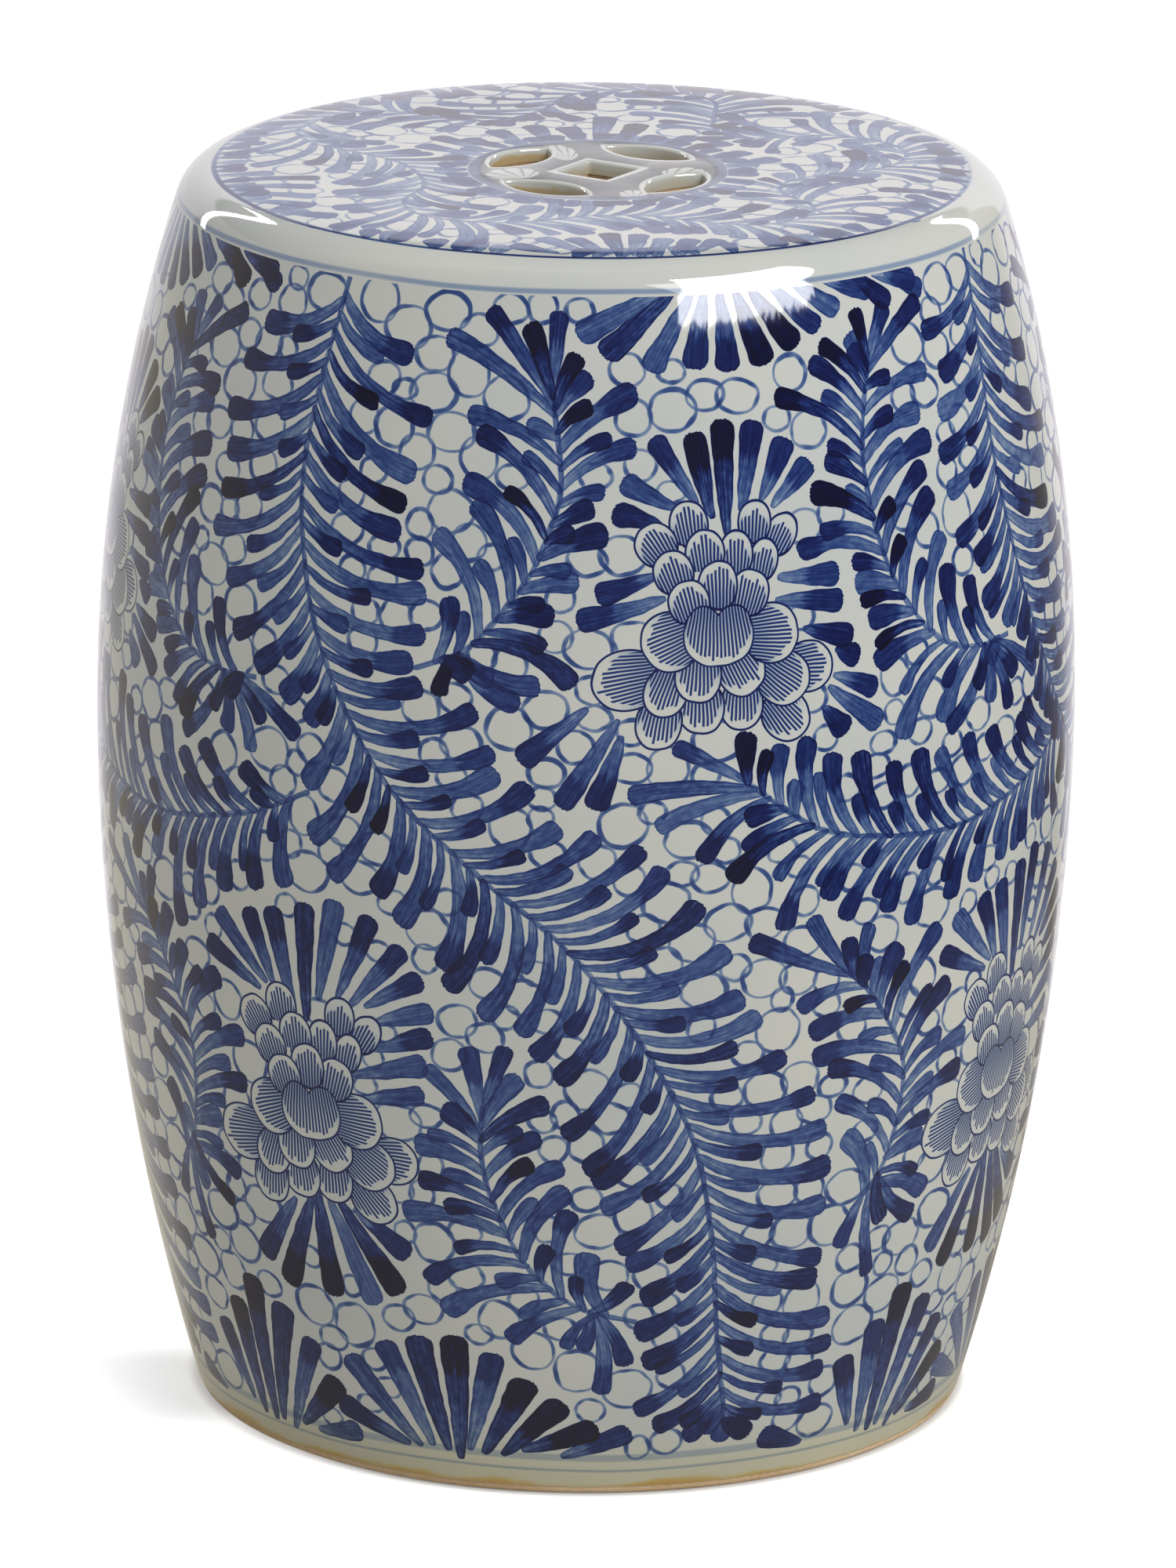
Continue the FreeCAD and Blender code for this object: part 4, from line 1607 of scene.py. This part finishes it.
def rayKinds(tree):
    # what the camera sees, also through glass, and what a shiny surface mirrors
    kinds = tree.nodes.new("ShaderNodeLightPath").outputs
    seen = most(Flow(kinds["Is Camera Ray"]), Flow(kinds["Is Transmission Ray"]))
    return seen, Flow(kinds["Is Glossy Ray"])


def mirroredRoom(right, back):
    room = ramp(back - right * 0.5, -0.1, 1.0, mirrorSet["roomDim"], mirrorSet["roomBright"])
    return room + ramp(right, 0.3, 0.8, mirrorSet["roomFront"], 0.0)


def mirrorColour(backdrop, room):
    room = room * (1.0 - backdrop)
    return join(*(backdrop * bright + room * warm
                  for bright, warm in zip(mirrorSet["backdrop"], mirrorSet["room"])))


def stageMaterial(name):
    material = bpy.data.materials.new(name)
    material.use_nodes = True
    material.cycles.emission_sampling = "NONE"
    tree = material.node_tree
    tree.nodes.remove(tree.nodes["Principled BSDF"])
    position = Flow(tree.nodes.new("ShaderNodeTexCoord").outputs["Object"])
    return material, tree, position, tree.nodes["Material Output"].inputs["Surface"]


def stageObject(name, bm, material):
    mesh = bpy.data.meshes.new(name)
    bm.to_mesh(mesh)
    bm.free()
    card = bpy.data.objects.new(name, mesh)
    bpy.context.scene.collection.objects.link(card)
    mesh.materials.append(material)
    return card


def floorLight(away, right, back):
    # the floor glows for the camera, so that it is as white as the backdrop. Near the foot the glow is held
    # back, so the lamp's dark line under the foot stays, though lighter on the left; a weaker glow at the
    # stool's left side paints a soft shade, and a stronger glow at the back paints light over the lamp's
    # shadow there
    contact = ramp(right, -0.95, -0.3, studio["contactLeft"], studio["contactLift"])
    start = studio["footRadius"]
    lift = ramp(away, start, start + studio["contactWidth"], contact, studio["floorLift"])
    lift = lift + ramp(away, start + 0.005, studio["clearRadius"], 0.0, 1.0 - studio["floorLift"])
    toLeft, _ = turned(-right, -back, math.radians(studio["leftAngle"]))
    far = ramp(away, 0.15, 0.25, studio["leftShade"], studio["leftFar"])
    return lift - ramp(toLeft, 0.945, 0.99) * far + ramp(back, 0.0, 0.5, 0.0, studio["backLift"])


def floorMaterial():
    material, tree, position, surface = stageMaterial("paleFloor")
    matt = tree.nodes.new("ShaderNodeBsdfDiffuse")
    matt.inputs["Color"].default_value = (studio["floorColour"],) * 3 + (1.0,)
    x, y, _ = split(position)
    away = distance(x, y)
    right = x / most(away, 0.01)
    back = y / most(away, 0.01)
    seen, mirrored = rayKinds(tree)
    glow = glowing(tree, white, seen * floorLight(away, right, back))
    both = feedAll(tree.nodes.new("ShaderNodeAddShader"), (Flow(matt.outputs[0]), glow))
    bare = ramp(away, 0.2, 1.4, mirrorSet["nearFloor"], mirrorSet["farFloor"])
    bare = bare * ramp(right * ramp(away, 0.2, 1.0), 0.3, 0.8, 1.0, 0.25)
    room = most(mirroredRoom(right, back), bare)
    backdrop = ramp(back, *mirrorSet["floorEdge"]) * ramp(away, 0.16, 0.4, 0.3, 0.85)
    feed(surface, chooseShader(mirrored, both, glowing(tree, mirrorColour(backdrop, room), 1.0)))
    return material


def makeFloor():
    bm = bmesh.new()
    bmesh.ops.create_circle(bm, cap_ends=True, radius=studio["floorRadius"], segments=96)
    stageObject("studioFloor", bm, floorMaterial())


def makeWorld():
    world = bpy.data.worlds.new("studioWorld")
    bpy.context.scene.world = world
    world.use_nodes = True
    tree = world.node_tree
    x, y, z = split(Flow(tree.nodes.new("ShaderNodeTexCoord").outputs["Generated"]))
    seen, mirrored = rayKinds(tree)
    fill = ramp(z, 0.0, 1.0, studio["worldSide"], studio["worldTop"], False)
    fill = fill + x * studio["worldLean"] + y * studio["worldBack"]
    sky = tree.nodes["Background"]
    sky.inputs["Color"].default_value = white
    feed(sky.inputs["Strength"], seen * (1.0 - fill) + fill)
    flat = most(distance(x, y), 0.001)
    right = x / flat
    back = y / flat
    low, high = mirrorSet["backdropTop"]
    backdrop = ramp(right * mirrorSet["lean"] + back, *mirrorSet["backdropEdge"])
    backdrop = backdrop * ramp(z, low, high, 1.0, 0.0)
    # above the backdrop the room is dark
    dark = ramp(z, low, high) * ramp(y, 0.0, 0.5, 0.0, mirrorSet["roomDark"])
    room = mirroredRoom(right, back) * (1.0 - dark)
    mirror = tree.nodes.new("ShaderNodeBackground")
    feed(mirror.inputs["Color"], mirrorColour(backdrop, room))
    feed(tree.nodes["World Output"].inputs["Surface"],
         chooseShader(mirrored, Flow(sky.outputs[0]), Flow(mirror.outputs[0])))


def makeLamp(name, place, target, size, power):
    data = bpy.data.lights.new(name, "AREA")
    data.shape = "RECTANGLE"
    data.size = size
    data.size_y = size
    data.energy = power
    lamp = bpy.data.objects.new(name, data)
    bpy.context.scene.collection.objects.link(lamp)
    lamp.location = place
    lamp.rotation_mode = "QUATERNION"
    lamp.rotation_quaternion = (Vector(target) - Vector(place)).to_track_quat("-Z", "Y")


# Bright panels that only the glaze mirrors: where they stand as azimuth and rise in degrees, and how bright.
# The window's edges lean: its left, right and lower edge shift by so many degrees for each degree.
# A strip is bowed: its middle is at its top there and falls away to both sides.
panelSet = dict(away=2.4, middle=0.44, step=3.0, soft=0.3, brightest=0.45, leanFrom=17.0, rightFrom=27.0,
                bottomFrom=33.0)
panels = dict(
    window=dict(azimuth=(20.0, 104.0), rise=(11.0, 66.0), low=15.0, high=20.0, left=(23.0, 0.2),
                right=(62.0, 0.9), bottom=(15.9, -0.075), top=60.0, jagged=(2.5, 1.1)),
    leftStrip=dict(azimuth=(-165.0, -127.0), rise=(3.0, 40.0), low=13.0, high=13.0, middle=(-153.0, 34.5),
                   bow=0.06, thin=1.2, thick=5.0, jagged=(0.5, 0.3)),
    rightStrip=dict(azimuth=(126.0, 162.0), rise=(4.0, 36.0), low=13.0, high=13.0, middle=(153.0, 30.5),
                    bow=0.04, thin=1.0, thick=4.6, jagged=(0.5, 0.3)),
)


def windowMask(azimuth, rise, panel):
    # clear distance in degrees from the nearest edge
    left = (rise - panelSet["leanFrom"]) * panel["left"][1] + panel["left"][0]
    right = most(rise - panelSet["rightFrom"], 0.0) * panel["right"][1] + panel["right"][0]
    bottom = (azimuth - panelSet["bottomFrom"]) * panel["bottom"][1] + panel["bottom"][0]
    return least(least(azimuth - left, right - azimuth), least(rise - bottom, panel["top"] - rise))


def stripMask(azimuth, rise, panel):
    middle, top = panel["middle"]
    aside = azimuth - middle
    off = abs(rise - (top - aside * aside * panel["bow"]))
    first, last = panel["azimuth"]
    ends = (panel["thin"], panel["thick"]) if middle < 0.0 else (panel["thick"], panel["thin"])
    half = ramp(azimuth, first, last, *ends)
    return least(half - off, least(azimuth - first, last - azimuth))


def panelMaterial(name, panel):
    material, tree, position, surface = stageMaterial(name)
    x, y, z = split(position)
    degree = math.pi / 180.0
    azimuth = calc("ARCTAN2", x, -y) / degree
    rise = calc("ARCSINE", (z - panelSet["middle"]) / panelSet["away"]) / degree
    low, high = panel["rise"]
    strength = ramp(rise, low, low + panelSet["brightest"] * (high - low), panel["low"], panel["high"])
    # the edges are a little jagged, because the glaze isn't quite even
    across, along = panel["jagged"]
    rough = grain((azimuth * 0.6, rise * 1.1, 0.0), detail=3.0, rough=0.7) - 0.5
    azimuth = rough * (2.0 * across) + azimuth
    rise = rough * (2.0 * along) + rise
    mask = (windowMask if "top" in panel else stripMask)(azimuth, rise, panel)
    clear = Flow(tree.nodes.new("ShaderNodeBsdfTransparent").outputs[0])
    feed(surface, chooseShader(ramp(mask, 0.0, panelSet["soft"]), clear, glowing(tree, white, strength)))
    return material


def makePanel(name, panel):
    bm = bmesh.new()
    away = panelSet["away"]
    low, high = (math.radians(rise) for rise in panel["rise"])
    first = bm.verts.new((away * math.cos(low), 0.0, away * math.sin(low)))
    arcOn(bm, first, (0.0, 0.0), high - low, round(math.degrees(high - low) / panelSet["step"]))
    start, end = (math.radians(azimuth) for azimuth in panel["azimuth"])
    facing = Matrix.Rotation(start - math.pi / 2.0, 3, "Z")
    bmesh.ops.rotate(bm, verts=bm.verts, cent=(0, 0, 0), matrix=facing)
    bmesh.ops.spin(bm, geom=list(bm.verts) + list(bm.edges), cent=(0, 0, 0), axis=(0, 0, 1),
                   angle=end - start, steps=round(math.degrees(end - start) / panelSet["step"]))
    bmesh.ops.translate(bm, verts=bm.verts, vec=(0, 0, panelSet["middle"]))
    card = stageObject(name, bm, panelMaterial(name, panel))
    card.visible_camera = False
    card.visible_diffuse = False
    card.visible_shadow = False
    card.visible_transmission = False


makeFloor()
makeWorld()
makeLamp(**keyLamp)
for name, panel in panels.items():
    makePanel(name, panel)
print("studio lit")
